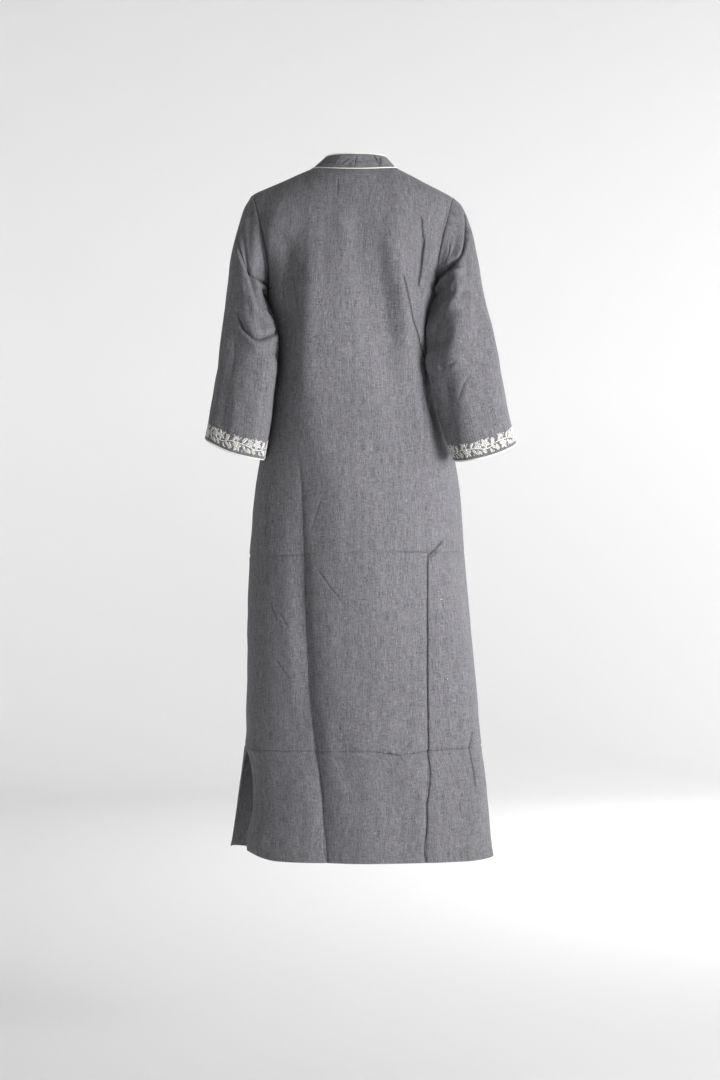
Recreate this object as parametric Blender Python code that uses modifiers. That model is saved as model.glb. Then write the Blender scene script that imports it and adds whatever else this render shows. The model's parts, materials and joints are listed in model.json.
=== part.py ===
"""A kurta tunic as it is worn: hollow linen panels, open at the neck, the cuffs, the slits and the hem.

The origin is on the centre plane at the base of the neck, where the wearer's shoulders hold the tunic.
+Z is up, +X is the wearer's left and the wearer faces -Y. Lengths are in metres, and a drop is a distance
below the origin. Every panel is an open surface, lofted through the tables below, with a Solidify wall.
"""

import math

import bmesh
import bpy
import numpy as np

GARMENT = "kurta_tunic"
HANDS = ("left", "right")

WALL = 0.0015  # linen with its seam turnings
COLLAR_WALL = 0.0018  # two layers and an interfacing
SEAM_GAP = 0.0003
ARMHOLE_GAP = 0.0005
SEAM_SINK = 0.0008  # how far both pieces roll inwards at a seam
PIPING_RADIUS = 0.0011

HEM_DROP = 1.205
SLIT_DROP = 1.015
UNDERARM_DROP = 0.2065
HEM_RISE_LEFT = 0.011  # the hem's corners beside the slits
HEM_RISE_RIGHT = 0.004

NECK_RISE = 0.008  # the neckline's sides, above the origin
NECK_LEFT = 0.0757
NECK_RIGHT = 0.0745
NECK_BACK = 0.055
NECK_FRONT = 0.092
NECK_FRONT_DROP = 0.066
COLLAR_TOP_LEFT = 0.0535
COLLAR_TOP_RIGHT = 0.0570
COLLAR_TOP_BACK = 0.0455
COLLAR_TOP_FRONT = 0.0800
COLLAR_TOP_RISE = 0.0270
COLLAR_FRONT_DROP = 0.0400
NECK_SLIT_DROP = 0.195  # the foot of the slit at the front of the neck
NECK_SLIT_HALF = 0.0075  # half its width at the top
NECK_BASE_SLOPE = (0.77, 0.64)  # how the shoulders leave the neckline: outwards and down

SHOULDER_SHARE = 0.26  # of a panel's top edge, on each side of the neckline
EDGE_SHARE = 0.005  # of a panel's width, where the roll beside its seams starts

SHOULDER_COLUMNS = 5
NECK_COLUMNS = 16
SLIT_ROWS = 4
BODY_ROWS = 18
UPPER_ROWS = 14
LAST_STEP = 0.15  # of a row, where the roll at the armhole and the shoulder seams starts
CLIMBS = np.append(np.arange(UPPER_ROWS) / UPPER_ROWS, [1 - LAST_STEP / UPPER_ROWS, 1])
SLEEVE_COLUMNS = 2 * UPPER_ROWS  # a sleeve meets the panels point for point
SLEEVE_ROWS = 16
COLLAR_ROWS = 3


def table(columns, *rows):
    """Rows of numbers as one array for each named column."""
    return {name: np.array(column, float) for name, column in zip(columns.split(), zip(*rows))}


# Half widths and depths of the body's ring.
BODY = table(
    "drop left right back front",
    (0.2065, 0.1500, 0.1430, 0.121, 0.128),
    (0.2200, 0.1492, 0.1422, 0.121, 0.129),
    (0.2350, 0.1462, 0.1386, 0.120, 0.130),
    (0.2620, 0.1398, 0.1318, 0.119, 0.129),
    (0.2900, 0.1368, 0.1308, 0.117, 0.127),
    (0.3300, 0.1365, 0.1320, 0.114, 0.123),
    (0.3750, 0.1415, 0.1390, 0.111, 0.119),
    (0.4155, 0.1490, 0.1490, 0.110, 0.117),
    (0.4700, 0.1610, 0.1660, 0.115, 0.116),
    (0.5110, 0.1690, 0.1770, 0.121, 0.117),
    (0.5600, 0.1765, 0.1850, 0.127, 0.118),
    (0.6490, 0.1840, 0.1910, 0.130, 0.120),
    (0.7910, 0.1890, 0.2035, 0.128, 0.121),
    (0.9320, 0.1905, 0.2115, 0.125, 0.122),
    (1.0150, 0.1915, 0.2145, 0.124, 0.124),
    (1.0560, 0.1990, 0.2230, 0.124, 0.125),
    (1.0910, 0.2035, 0.2280, 0.124, 0.126),
    (1.1450, 0.2110, 0.2320, 0.124, 0.128),
    (1.2050, 0.2200, 0.2390, 0.125, 0.130),
)
# How far each panel's edge leaves the side seam's line at the open slits.
SLIT_EDGES = {
    ("back", "left"): table(
        "drop out back",
        (1.015, 0.000, 0.000),
        (1.049, -0.015, 0.020),
        (1.105, -0.027, 0.032),
        (1.142, -0.030, 0.034),
        (1.185, -0.026, 0.030),
        (1.205, -0.031, 0.032),
    ),
    ("back", "right"): table(
        "drop out back", (1.015, 0.000, 0.000), (1.060, 0.000, 0.010), (1.205, 0.001, 0.020)
    ),
    ("front", "left"): table(
        "drop out back", (1.015, 0.000, 0.000), (1.060, 0.000, -0.012), (1.205, 0.001, -0.024)
    ),
    ("front", "right"): table(
        "drop out back", (1.015, 0.000, 0.000), (1.060, -0.008, -0.014), (1.205, -0.016, -0.026)
    ),
}
# The squareness of a half ring: 2 is an ellipse.
ROUNDNESS = {
    "back": table("drop power", (0.20, 2.25), (0.33, 2.2), (0.60, 2.35), (1.205, 2.3)),
    "front": table("drop power", (0.20, 2.2), (0.33, 2.2), (0.60, 2.3), (1.205, 2.3)),
}
# Rings of a sleeve from the armhole to the cuff: its outer and its inner edge, seen from behind, the
# depth of its back and front half, how far back its middle hangs and how far its back sags.
SLEEVES = {
    "left": table(
        "share outer outer_drop inner inner_drop back front middle sag",
        (0.00, 0.1805, 0.0383, 0.1500, 0.2065, 0.060, 0.060, 0.000, 0.000),
        (0.06, 0.1950, 0.0600, 0.1515, 0.2110, 0.061, 0.060, 0.003, 0.000),
        (0.14, 0.2060, 0.0980, 0.1520, 0.2190, 0.060, 0.058, 0.010, 0.001),
        (0.26, 0.2166, 0.1454, 0.1480, 0.2350, 0.057, 0.055, 0.022, 0.002),
        (0.38, 0.2236, 0.2017, 0.1398, 0.2600, 0.054, 0.053, 0.034, 0.003),
        (0.50, 0.2290, 0.2581, 0.1330, 0.2950, 0.051, 0.051, 0.045, 0.004),
        (0.63, 0.2360, 0.3144, 0.1318, 0.3400, 0.050, 0.050, 0.053, 0.005),
        (0.76, 0.2430, 0.3708, 0.1385, 0.3960, 0.050, 0.050, 0.060, 0.007),
        (0.90, 0.2520, 0.4280, 0.1470, 0.4580, 0.051, 0.050, 0.066, 0.009),
        (1.00, 0.2597, 0.4703, 0.1560, 0.5050, 0.052, 0.051, 0.070, 0.011),
    ),
    "right": table(
        "share outer outer_drop inner inner_drop back front middle sag",
        (0.00, 0.1717, 0.0428, 0.1430, 0.2065, 0.060, 0.060, 0.000, 0.000),
        (0.06, 0.1880, 0.0600, 0.1445, 0.2105, 0.061, 0.060, 0.003, 0.000),
        (0.14, 0.1985, 0.0950, 0.1445, 0.2180, 0.060, 0.058, 0.010, 0.001),
        (0.26, 0.2090, 0.1454, 0.1400, 0.2340, 0.058, 0.055, 0.022, 0.002),
        (0.38, 0.2184, 0.2017, 0.1323, 0.2600, 0.056, 0.054, 0.034, 0.003),
        (0.50, 0.2320, 0.2581, 0.1280, 0.2950, 0.055, 0.053, 0.045, 0.004),
        (0.63, 0.2460, 0.3144, 0.1270, 0.3400, 0.056, 0.053, 0.053, 0.005),
        (0.76, 0.2575, 0.3708, 0.1370, 0.3960, 0.056, 0.053, 0.060, 0.007),
        (0.90, 0.2680, 0.4280, 0.1540, 0.4620, 0.056, 0.053, 0.066, 0.009),
        (1.00, 0.2790, 0.4790, 0.1720, 0.5080, 0.055, 0.052, 0.070, 0.011),
    ),
}
ARMHOLE_BOW = 0.0055  # how far the armhole seam curves in towards the back and the chest
BOW_SHARE = 0.2  # of a sleeve's length, where that curve has gone
BOW_LEAN = 0.6  # how much stronger it is in the lower half

RING_STEPS = 180
HEM_RISE_SHARE = 0.18  # of a panel's width, where the rise of its corner has gone
SEAM_PULL_SHARE = 0.35  # of a panel's width, the part drawn into the armhole
MIDDLE_CLIMB_POWER = 1.6  # how fast the middle rows rise above the underarm
EDGE_ROUND = 2.2  # the roundness of the shoulders seen from the side
MIDDLE_ROUND = 1.45  # the same beside the neck, where the back is straighter


def read(rows, column, at):
    """One column of a table at any place along its first, on a smooth curve through the rows."""
    place, value = next(iter(rows.values())), rows[column]
    slope = np.gradient(value, place)
    at = np.clip(at, place[0], place[-1])
    i = np.clip(np.searchsorted(place, at, "right") - 1, 0, len(place) - 2)
    step = place[i + 1] - place[i]
    t = (at - place[i]) / step
    start = (1 + 2 * t) * (1 - t) ** 2 * value[i] + t * (1 - t) ** 2 * step * slope[i]
    end = t * t * (3 - 2 * t) * value[i + 1] + t * t * (t - 1) * step * slope[i + 1]
    return start + end


def ease(x):
    """From 0 to 1, flat at both ends."""
    x = np.clip(x, 0, 1)
    return x * x * (3 - 2 * x)


# ---- the body's surface -------------------------------------------------------------------------


def corner(face, hand, drop):
    """Where a panel's edge is: on the side seam, and apart from it below the top of the slit."""
    slit = SLIT_EDGES[face, hand]
    out = read(BODY, hand, drop) + read(slit, "out", drop)
    return out, read(slit, "back", drop)


def section(face, drop, shares):
    """A half ring of the body at one height, from the left edge to the right one."""
    turn = np.linspace(0, math.pi, RING_STEPS + 1)
    across, bulge = np.cos(turn), np.sin(turn)
    power = 2 / read(ROUNDNESS[face], "power", drop)
    depth = read(BODY, face, drop) * (1 if face == "back" else -1)
    left, left_y = corner(face, "left", drop)
    right, right_y = corner(face, "right", drop)
    x = np.where(across > 0, left, right) * np.sign(across) * np.abs(across) ** power
    edge_y = left_y * (1 + across) / 2 + right_y * (1 - across) / 2
    y = edge_y + (depth - edge_y) * bulge**power
    gone = np.concatenate([[0], np.cumsum(np.hypot(np.diff(x), np.diff(y)))])
    at = shares * gone[-1]
    rise = np.where(shares < 0.5, HEM_RISE_LEFT, HEM_RISE_RIGHT)
    rise = rise * (1 - ease(np.minimum(shares, 1 - shares) / HEM_RISE_SHARE))
    rise = rise * ease((drop - SLIT_DROP) / (HEM_DROP - SLIT_DROP))
    return np.stack([np.interp(at, gone, x), np.interp(at, gone, y), rise - drop], 1)


def sleeve_ring(hand, share, turn):
    """One ring of a sleeve: the outer edge at 0, the back at 90 and the inner edge at 180 degrees."""
    rows = SLEEVES[hand]
    sign = 1 if hand == "left" else -1
    outer = read(rows, "outer", share), -read(rows, "outer_drop", share)
    inner = read(rows, "inner", share), -read(rows, "inner_drop", share)
    depth = np.where(np.sin(turn) > 0, read(rows, "back", share), read(rows, "front", share))
    bow = ARMHOLE_BOW * (1 - ease(share / BOW_SHARE))
    bow = bow * np.sin(turn) ** 2 * (1 - BOW_LEAN * np.cos(turn))
    middle = (1 + np.cos(turn)) / 2
    x = inner[0] + (outer[0] - inner[0]) * middle - bow
    y = read(rows, "middle", share) + depth * np.sin(turn)
    z = inner[1] + (outer[1] - inner[1]) * middle - read(rows, "sag", share) * np.sin(turn)
    return np.stack([sign * x, y, z], 1)


def neckline(turn):
    """The neck seam: the left side at 0, the back at 90, the right at 180, the front at 270 degrees."""
    across, deep = np.cos(turn), np.sin(turn)
    x = across * np.where(across > 0, NECK_LEFT, NECK_RIGHT)
    y = deep * np.where(deep > 0, NECK_BACK, NECK_FRONT)
    z = NECK_RISE - deep**2 * np.where(deep > 0, NECK_RISE, NECK_RISE + NECK_FRONT_DROP)
    return np.stack([x, y, z], 1)


def collar_top(turn):
    """The collar's upper edge, over the neckline."""
    across, deep = np.cos(turn), np.sin(turn)
    x = across * np.where(across > 0, COLLAR_TOP_LEFT, COLLAR_TOP_RIGHT)
    y = deep * np.where(deep > 0, COLLAR_TOP_BACK, COLLAR_TOP_FRONT)
    z = COLLAR_TOP_RISE - deep**2 * np.where(deep > 0, 0, COLLAR_TOP_RISE + COLLAR_FRONT_DROP)
    return np.stack([x, y, z], 1)


def top_edge(face, shares):
    """A panel's top, from the left shoulder point along the seam, the neckline and the other seam."""
    side = 1 if face == "back" else -1
    left, right = (sleeve_ring(hand, 0.0, np.zeros(1))[0] for hand in HANDS)
    in_neck = np.clip((shares - SHOULDER_SHARE) / (1 - 2 * SHOULDER_SHARE), 0, 1)
    neck = neckline(side * in_neck * math.pi)
    away = neck / (NECK_LEFT**2, (NECK_BACK if face == "back" else NECK_FRONT) ** 2, math.inf)
    away /= np.linalg.norm(away, axis=1)[:, None]
    out, down = NECK_BASE_SLOPE
    neck += (PIPING_RADIUS + 2 * SEAM_GAP) * (away * out - np.array([0, 0, down]))
    ends = np.where((shares < 0.5)[:, None], left, right)
    on_seam = np.minimum(np.minimum(shares, 1 - shares) / SHOULDER_SHARE, 1)[:, None]
    return ends + (neck - ends) * on_seam


def upper_row(face, climb, shares):
    """A line across a panel above the underarm. climb is 0 there and 1 at the top edge."""
    side = 1 if face == "back" else -1
    from_edge = np.minimum(shares, 1 - shares)
    near = 1 - ease(from_edge / SEAM_PULL_SHARE)
    by_turn = (1 - math.cos(climb * math.pi)) / 2
    rise = by_turn * near + (1 - (1 - climb) ** MIDDLE_CLIMB_POWER) * (1 - near)
    low, top = section(face, UNDERARM_DROP, shares), top_edge(face, shares)
    power = EDGE_ROUND + (MIDDLE_ROUND - EDGE_ROUND) * ease((from_edge - 0.22) / 0.2)
    over = np.clip(1 - rise**power, 0, 1) ** (1 / power)
    row = low + (top - low) * rise[:, None]
    row[:, 1] = top[:, 1] + (low[:, 1] - top[:, 1]) * over
    for hand, end in (("left", 0), ("right", -1)):
        mine = shares < 0.5 if hand == "left" else shares >= 0.5
        seam = sleeve_ring(hand, 0.0, np.array([side * (1 - climb) * math.pi]))[0]
        pull = np.clip(1 - from_edge / SEAM_PULL_SHARE, 0, 1)[:, None] ** 2 * mine[:, None]
        row += pull * (seam - row[end])
    return row


# Soft drape folds: where each starts and ends, seen from behind, its depth (in is negative) and width.
FOLDS = {
    "back": table(
        "x drop to_x to_drop depth width",
        (0.117, 0.110, 0.108, 0.330, -0.0120, 0.0130),
        (0.072, 0.100, 0.080, 0.430, 0.0060, 0.0170),
        (-0.034, 0.100, -0.074, 0.340, -0.0065, 0.0140),
        (-0.072, 0.130, -0.100, 0.390, 0.0070, 0.0150),
        (-0.118, 0.090, -0.110, 0.240, -0.0060, 0.0110),
        (0.094, 0.480, 0.086, 0.800, -0.0045, 0.0120),
        (0.086, 0.800, 0.052, 1.250, -0.0045, 0.0120),
        (0.122, 0.560, 0.112, 1.000, 0.0035, 0.0150),
        (-0.126, 0.620, -0.121, 1.250, -0.0022, 0.0110),
        (0.020, 0.900, 0.000, 1.250, -0.0030, 0.0260),
    ),
    "front": table(
        "x drop to_x to_drop depth width",
        (0.112, 0.130, 0.090, 0.330, -0.0100, 0.0140),
        (0.070, 0.200, 0.078, 0.470, 0.0060, 0.0180),
        (-0.108, 0.120, -0.088, 0.350, -0.0105, 0.0140),
        (-0.066, 0.210, -0.082, 0.480, 0.0065, 0.0170),
        (0.060, 0.520, 0.088, 1.250, -0.0045, 0.0200),
        (-0.070, 0.470, -0.096, 1.250, -0.0055, 0.0190),
        (0.010, 0.640, 0.000, 1.250, -0.0035, 0.0260),
        (0.118, 0.600, 0.140, 1.250, 0.0040, 0.0180),
    ),
}
# The same on a sleeve: the turn around it in degrees and the share of its length.
SLEEVE_FOLDS = {
    "left": table(
        "turn share to_turn to_share depth width",
        (35, 0.10, 150, 0.42, -0.0070, 0.0110),
        (60, 0.30, 160, 0.56, 0.0050, 0.0120),
        (110, 0.56, 175, 0.62, -0.0045, 0.0100),
        (60, 0.60, 80, 1.05, 0.0035, 0.0160),
        (215, 0.46, 320, 0.16, -0.0065, 0.0110),
        (200, 0.60, 300, 0.32, 0.0050, 0.0120),
        (280, 0.50, 262, 1.05, -0.0040, 0.0150),
    ),
    "right": table(
        "turn share to_turn to_share depth width",
        (50, 0.10, 155, 0.44, -0.0085, 0.0110),
        (75, 0.30, 165, 0.55, 0.0060, 0.0120),
        (75, 0.42, 70, 0.66, 0.0045, 0.0140),
        (120, 0.62, 150, 0.98, -0.0035, 0.0150),
        (210, 0.46, 315, 0.14, -0.0070, 0.0110),
        (205, 0.62, 295, 0.34, 0.0055, 0.0120),
        (255, 0.56, 275, 1.05, -0.0045, 0.0150),
    ),
}


FOLD_FADE = 0.3  # of a fold's length, at each end
CALM_SHARE = 0.08  # of a panel's width, where its folds have faded beside a seam
CALM_ROWS = 5  # the same below its top edge
SLEEVE_CALM = 0.12  # of a sleeve's length, below the armhole
SLEEVE_RADIUS = 0.056
SLEEVE_LENGTH = 0.44


def fold_height(place, start, end, depth, width):
    """How far one fold lifts each place (2 numbers each) on a flat map of the cloth."""
    run = end - start
    along = np.clip((place - start) @ run / (run @ run), 0, 1)
    aside = np.linalg.norm(place - start - along[..., None] * run, axis=-1)
    fade = ease(along / FOLD_FADE) * ease((1 - along) / FOLD_FADE)
    return depth * fade * np.exp(-((aside / width) ** 2))


def panel_folds(face, points):
    """The lift of each point of a panel."""
    place = points[..., [0, 2]] * (1, -1)
    rows = zip(*FOLDS[face].values())
    return sum(fold_height(place, np.array(r[0:2]), np.array(r[2:4]), r[4], r[5]) for r in rows)


def sleeve_folds(hand, turns, shares):
    """The lift of each point of a sleeve, on a map of metres around and along it."""
    turn, share = np.meshgrid(np.degrees(turns), shares)
    size = np.array([math.radians(SLEEVE_RADIUS), SLEEVE_LENGTH])
    place = np.stack([turn, share], -1) * size
    lift = 0
    for row in zip(*SLEEVE_FOLDS[hand].values()):
        ends = np.array(row[0:2]) * size, np.array(row[2:4]) * size
        lift = lift + fold_height(place, *ends, row[4], row[5])
    return lift


# ---- from points to solids ----------------------------------------------------------------------


def outward(grid, closed=False):
    """The unit normal at each point of a grid whose rows go up and whose columns go round."""
    if closed:
        around = np.roll(grid, -1, 1) - np.roll(grid, 1, 1)
    else:
        around = np.gradient(grid, axis=1)
    normal = np.cross(around, np.gradient(grid, axis=0))
    return normal / np.linalg.norm(normal, axis=2)[..., None]


def armhole_edge(hand, turns, side):
    """A piece's edge at the armhole, rolled in: the panels' one (side -1) or the sleeve's one (side 1)."""
    ring = sleeve_ring(hand, 0.0, turns)
    top, back, foot = sleeve_ring(hand, 0.0, np.radians([0, 90, 180]))
    middle = (top + foot) / 2
    sideways = np.cross(top - foot, back - middle)
    sideways *= np.sign(sideways[0] * middle[0]) * side / np.linalg.norm(sideways)
    inwards = middle - ring
    inwards /= np.linalg.norm(inwards, axis=1)[:, None]
    return ring + inwards * SEAM_SINK + sideways * ARMHOLE_GAP / 2


def sew_edges(face, grid):
    """Rolls a panel's edges into its seams. The grid still runs from the left to the right."""
    side = 1 if face == "back" else -1
    foot = len(grid) - UPPER_ROWS - 2
    drops = -grid[:, 0, 2]
    for hand, column in (("left", 0), ("right", -1)):
        sewn = (drops < SLIT_DROP + SEAM_GAP) & (np.arange(len(grid)) < foot)
        grid[sewn, column] += (-SEAM_SINK if hand == "left" else SEAM_SINK, side * SEAM_GAP / 2, 0)
        grid[foot:, column] = armhole_edge(hand, side * (1 - CLIMBS) * math.pi, -1)
    shares = column_shares()
    shoulder = np.minimum(shares, 1 - shares) < SHOULDER_SHARE - EDGE_SHARE
    shoulder[[0, -1]] = False
    grid[-1, shoulder] += (0, side * SEAM_GAP / 2, -SEAM_SINK)
    grid[-1, [0, -1]] += (0, side * SEAM_GAP / 2, 0)


def finish(name, colour, roughness):
    """A plain Principled finish."""
    material = bpy.data.materials.new(name)
    material.use_nodes = True
    shader = material.node_tree.nodes["Principled BSDF"]
    shader.inputs["Base Color"].default_value = (*colour, 1)
    shader.inputs["Roughness"].default_value = roughness
    shader.inputs["Metallic"].default_value = 0
    return material


def wall_of(name, grids, thickness, material, closed=False):
    """An open surface made of grids, welded where they meet, with a wall on its inner side."""
    form = bmesh.new()
    for grid in grids:
        rows = [[form.verts.new(point) for point in row] for row in grid]
        last = None if closed else -1
        for low, high in zip(rows, rows[1:]):
            cells = zip(low, low[1:] + low[:1], high[1:] + high[:1], high)
            for cell in list(cells)[:last]:
                form.faces.new(cell)
    bmesh.ops.remove_doubles(form, verts=form.verts, dist=1e-6)
    mesh = bpy.data.meshes.new(name)
    form.to_mesh(mesh)
    form.free()
    mesh.shade_smooth()
    mesh.materials.append(material)
    thing = bpy.data.objects.new(name, mesh)
    wall = thing.modifiers.new("wall", "SOLIDIFY")
    wall.thickness = thickness
    wall.offset = -1
    return thing


def piping(name, points, material, closed=False):
    """A round cord along some points."""
    curve = bpy.data.curves.new(name, "CURVE")
    curve.dimensions = "3D"
    curve.bevel_depth = PIPING_RADIUS
    curve.bevel_resolution = 2
    curve.use_fill_caps = not closed
    spline = curve.splines.new("POLY")
    spline.points.add(len(points) - 1)
    for knot, point in zip(spline.points, points):
        knot.co = (*point, 1)
    spline.use_cyclic_u = closed
    curve.materials.append(material)
    return bpy.data.objects.new(name, curve)


# ---- the pieces ---------------------------------------------------------------------------------


def column_shares():
    """Where a panel's columns are: beside the side seams, on the shoulder seams, on the neckline."""
    shoulder = np.linspace(0, SHOULDER_SHARE, SHOULDER_COLUMNS + 1)
    neck = np.linspace(SHOULDER_SHARE, 1 - SHOULDER_SHARE, NECK_COLUMNS + 1)
    shares = np.concatenate([shoulder, neck[1:-1], 1 - shoulder[::-1]])
    return np.insert(shares, [1, len(shares) - 1], [EDGE_SHARE, 1 - EDGE_SHARE])


def panel_grid(face):
    """The outer points of a panel, from the hem up. Its columns go round the body anticlockwise."""
    shares = column_shares()
    slit = np.linspace(HEM_DROP, SLIT_DROP, SLIT_ROWS + 1)
    body = np.linspace(SLIT_DROP, UNDERARM_DROP, BODY_ROWS + 1)
    rows = [section(face, drop, shares) for drop in np.append(slit, body[1:-1])]
    rows += [upper_row(face, climb, shares) for climb in CLIMBS]
    grid = np.array(rows)
    normals = outward(grid) * (1 if face == "back" else -1)
    from_side = np.minimum(shares, 1 - shares)
    from_top = np.arange(len(grid))[::-1, None]
    calm = ease(from_side / CALM_SHARE) * ease(from_top / CALM_ROWS)
    grid += normals * (calm * panel_folds(face, grid))[..., None]
    sew_edges(face, grid)
    return grid if face == "back" else grid[:, ::-1]


def slit_halves(grid):
    """A front panel's two halves, apart at the neck slit and meeting below it."""
    middle = grid.shape[1] // 2
    right, left = grid[:, : middle + 1].copy(), grid[:, middle:].copy()
    drop = -grid[:, middle, 2]
    apart = NECK_SLIT_HALF * np.clip((NECK_SLIT_DROP - drop) / (NECK_SLIT_DROP - drop[-1]), 0, 1)
    right[:, -1, 0] -= apart
    left[:, 0, 0] += apart
    return right, left


def sleeve_grid(hand):
    """The outer points of a sleeve, from the cuff up to the armhole."""
    turns = np.arange(SLEEVE_COLUMNS) * 2 * math.pi / SLEEVE_COLUMNS
    if hand == "right":
        turns = turns[::-1]
    shares = np.append(np.arange(SLEEVE_ROWS, 0, -1) / SLEEVE_ROWS, [LAST_STEP / SLEEVE_ROWS, 0])
    grid = np.array([sleeve_ring(hand, share, turns) for share in shares])
    normals = outward(grid, closed=True)
    calm = ease(shares / SLEEVE_CALM)[:, None]
    grid += normals * (calm * sleeve_folds(hand, turns, shares))[..., None]
    grid[-1] = armhole_edge(hand, turns, 1)
    return grid


def cuff_line(grid):
    """The middle of the piping that edges a sleeve: just past the end of the wall."""
    along = grid[0] - grid[1]
    along /= np.linalg.norm(along, axis=1)[:, None]
    inwards = -outward(grid, closed=True)[0]
    return grid[0] + along * (PIPING_RADIUS + SEAM_GAP) + inwards * WALL / 2


def collar_lines():
    """The collar's seam and upper edge, and the unit step from one up to the other."""
    notch = NECK_SLIT_HALF / NECK_RIGHT
    inner = np.arange(1, 2 * NECK_COLUMNS) * math.pi / NECK_COLUMNS
    turns = np.concatenate([[notch], inner, [2 * math.pi - notch]]) - math.pi / 2
    seam, top = neckline(turns), collar_top(turns)
    up = top - seam
    return seam, top, up / np.linalg.norm(up, axis=1)[:, None]


def collar_grid():
    """The outer points of the collar, from its seam up."""
    seam, top, up = collar_lines()
    low = seam + up * (PIPING_RADIUS + SEAM_GAP)
    shares = np.linspace(0, 1, COLLAR_ROWS + 1)[:, None, None]
    return low + (top - low) * shares


def main():
    """Builds the tunic."""
    for thing in list(bpy.data.objects):
        bpy.data.objects.remove(thing, do_unlink=True)
    linen = finish("slate_linen", (0.19, 0.19, 0.20), 0.85)
    ivory = finish("ivory_piping", (0.74, 0.72, 0.66), 0.7)
    seam, top, up = collar_lines()
    pieces = [
        wall_of("back_panel", [panel_grid("back")], WALL, linen),
        wall_of("front_panel", slit_halves(panel_grid("front")), WALL, linen),
        wall_of("collar", [collar_grid()], COLLAR_WALL, linen),
        piping("collar_seam_piping", seam, ivory),
        piping("collar_top_piping", top + up * (PIPING_RADIUS + SEAM_GAP), ivory),
    ]
    for hand in HANDS:
        grid = sleeve_grid(hand)
        pieces.append(wall_of(f"sleeve_{hand}", [grid], WALL, linen, closed=True))
        pieces.append(piping(f"cuff_piping_{hand}", cuff_line(grid), ivory, closed=True))
    garment = bpy.data.collections.new(GARMENT)
    bpy.context.scene.collection.children.link(garment)
    for piece in pieces:
        garment.objects.link(piece)


main()
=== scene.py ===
# %% [markdown]
# # A kurta tunic in slate linen
#
# A kurta is a long straight tunic. This one is worn: the cloth stands round a body that isn't there, so every
# panel is a hollow shell. A plain solid of each panel already exists, at its real size. This lesson dresses
# those solids. It lofts each panel again on a much finer grid, presses and crumples the linen, weaves it,
# sews it, and works a border of leaves round both cuffs. The code works in metres, +Z is up, the wearer
# faces -Y, and a drop is a distance below the base of the neck. A table's columns after a bar are in
# millimetres, as a tailor writes them.

# %% Load the plain solids
import json
import math
from functools import partial

import bmesh
import bpy
import numpy as np
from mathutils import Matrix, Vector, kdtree

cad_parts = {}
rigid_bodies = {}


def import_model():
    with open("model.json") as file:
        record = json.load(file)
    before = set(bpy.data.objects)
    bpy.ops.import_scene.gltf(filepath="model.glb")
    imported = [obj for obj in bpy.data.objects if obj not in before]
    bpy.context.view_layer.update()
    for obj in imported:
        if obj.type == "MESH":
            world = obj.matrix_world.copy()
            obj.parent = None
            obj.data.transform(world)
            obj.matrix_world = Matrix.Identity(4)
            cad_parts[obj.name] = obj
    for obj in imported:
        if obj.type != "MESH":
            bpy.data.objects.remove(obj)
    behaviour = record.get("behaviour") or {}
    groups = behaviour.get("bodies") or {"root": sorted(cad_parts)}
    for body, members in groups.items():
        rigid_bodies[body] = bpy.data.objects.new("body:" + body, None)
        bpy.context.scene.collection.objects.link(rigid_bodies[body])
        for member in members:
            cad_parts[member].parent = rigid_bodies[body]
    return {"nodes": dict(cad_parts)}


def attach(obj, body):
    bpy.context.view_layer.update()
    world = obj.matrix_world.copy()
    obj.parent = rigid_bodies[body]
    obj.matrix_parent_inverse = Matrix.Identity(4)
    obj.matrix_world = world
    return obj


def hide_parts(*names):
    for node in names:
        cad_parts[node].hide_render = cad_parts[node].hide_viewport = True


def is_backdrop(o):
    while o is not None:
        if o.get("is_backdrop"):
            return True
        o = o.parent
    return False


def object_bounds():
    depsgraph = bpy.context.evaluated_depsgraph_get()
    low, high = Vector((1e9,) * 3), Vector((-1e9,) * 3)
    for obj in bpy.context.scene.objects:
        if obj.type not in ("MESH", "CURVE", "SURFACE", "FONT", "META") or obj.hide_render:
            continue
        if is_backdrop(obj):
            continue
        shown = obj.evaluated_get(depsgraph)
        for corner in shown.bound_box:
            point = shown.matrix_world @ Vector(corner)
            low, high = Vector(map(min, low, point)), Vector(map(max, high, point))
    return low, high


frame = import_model()
cad_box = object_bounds()
HANDS = ("left", "right")
FACES = ("back", "front")
SIGN = {"left": 1, "right": -1, "back": 1, "front": -1}  # of X for a hand and of Y for a face
print("plain solids:", ", ".join(sorted(frame["nodes"])))

# %% [markdown]
# ## The sizes of the cut
#
# A tailor writes a garment down as a short table: how wide and how deep it is at each height. A smooth curve
# through the rows then gives every width in between. Keeping the numbers in small tables, and not in a
# list of points, means that one row can be changed and the whole side of the tunic follows.

# %% Tables that can be read at any height


def table(columns, text):
    """Named columns from rows of text. Those after a bar are given in millimetres and kept in metres."""
    plain, _, small = columns.partition("|")
    units = [""] * len(plain.split()) + ["e-3"] * len(small.split())
    rows = (row.split() for row in text.replace(";", "\n").strip().splitlines())
    values = zip(*([float(word + unit) for word, unit in zip(row, units)] for row in rows))
    return dict(zip((plain + small).split(), map(np.array, values)))


def tables(columns, **texts):
    """Several tables with the same columns, by name."""
    return {name: table(columns, text) for name, text in texts.items()}


def read(rows, column, at):
    """One column of a table at any place along its first, on a smooth curve through the rows."""
    place, value = next(iter(rows.values())), rows[column]
    slope = np.gradient(value, place)
    at = np.clip(at, place[0], place[-1])
    i = np.clip(np.searchsorted(place, at, "right") - 1, 0, len(place) - 2)
    step = place[i + 1] - place[i]
    t = (at - place[i]) / step
    start = (1 + 2 * t) * (1 - t) ** 2 * value[i] + t * (1 - t) ** 2 * step * slope[i]
    end = t * t * (3 - 2 * t) * value[i + 1] + t * t * (t - 1) * step * slope[i + 1]
    return start + end


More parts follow.
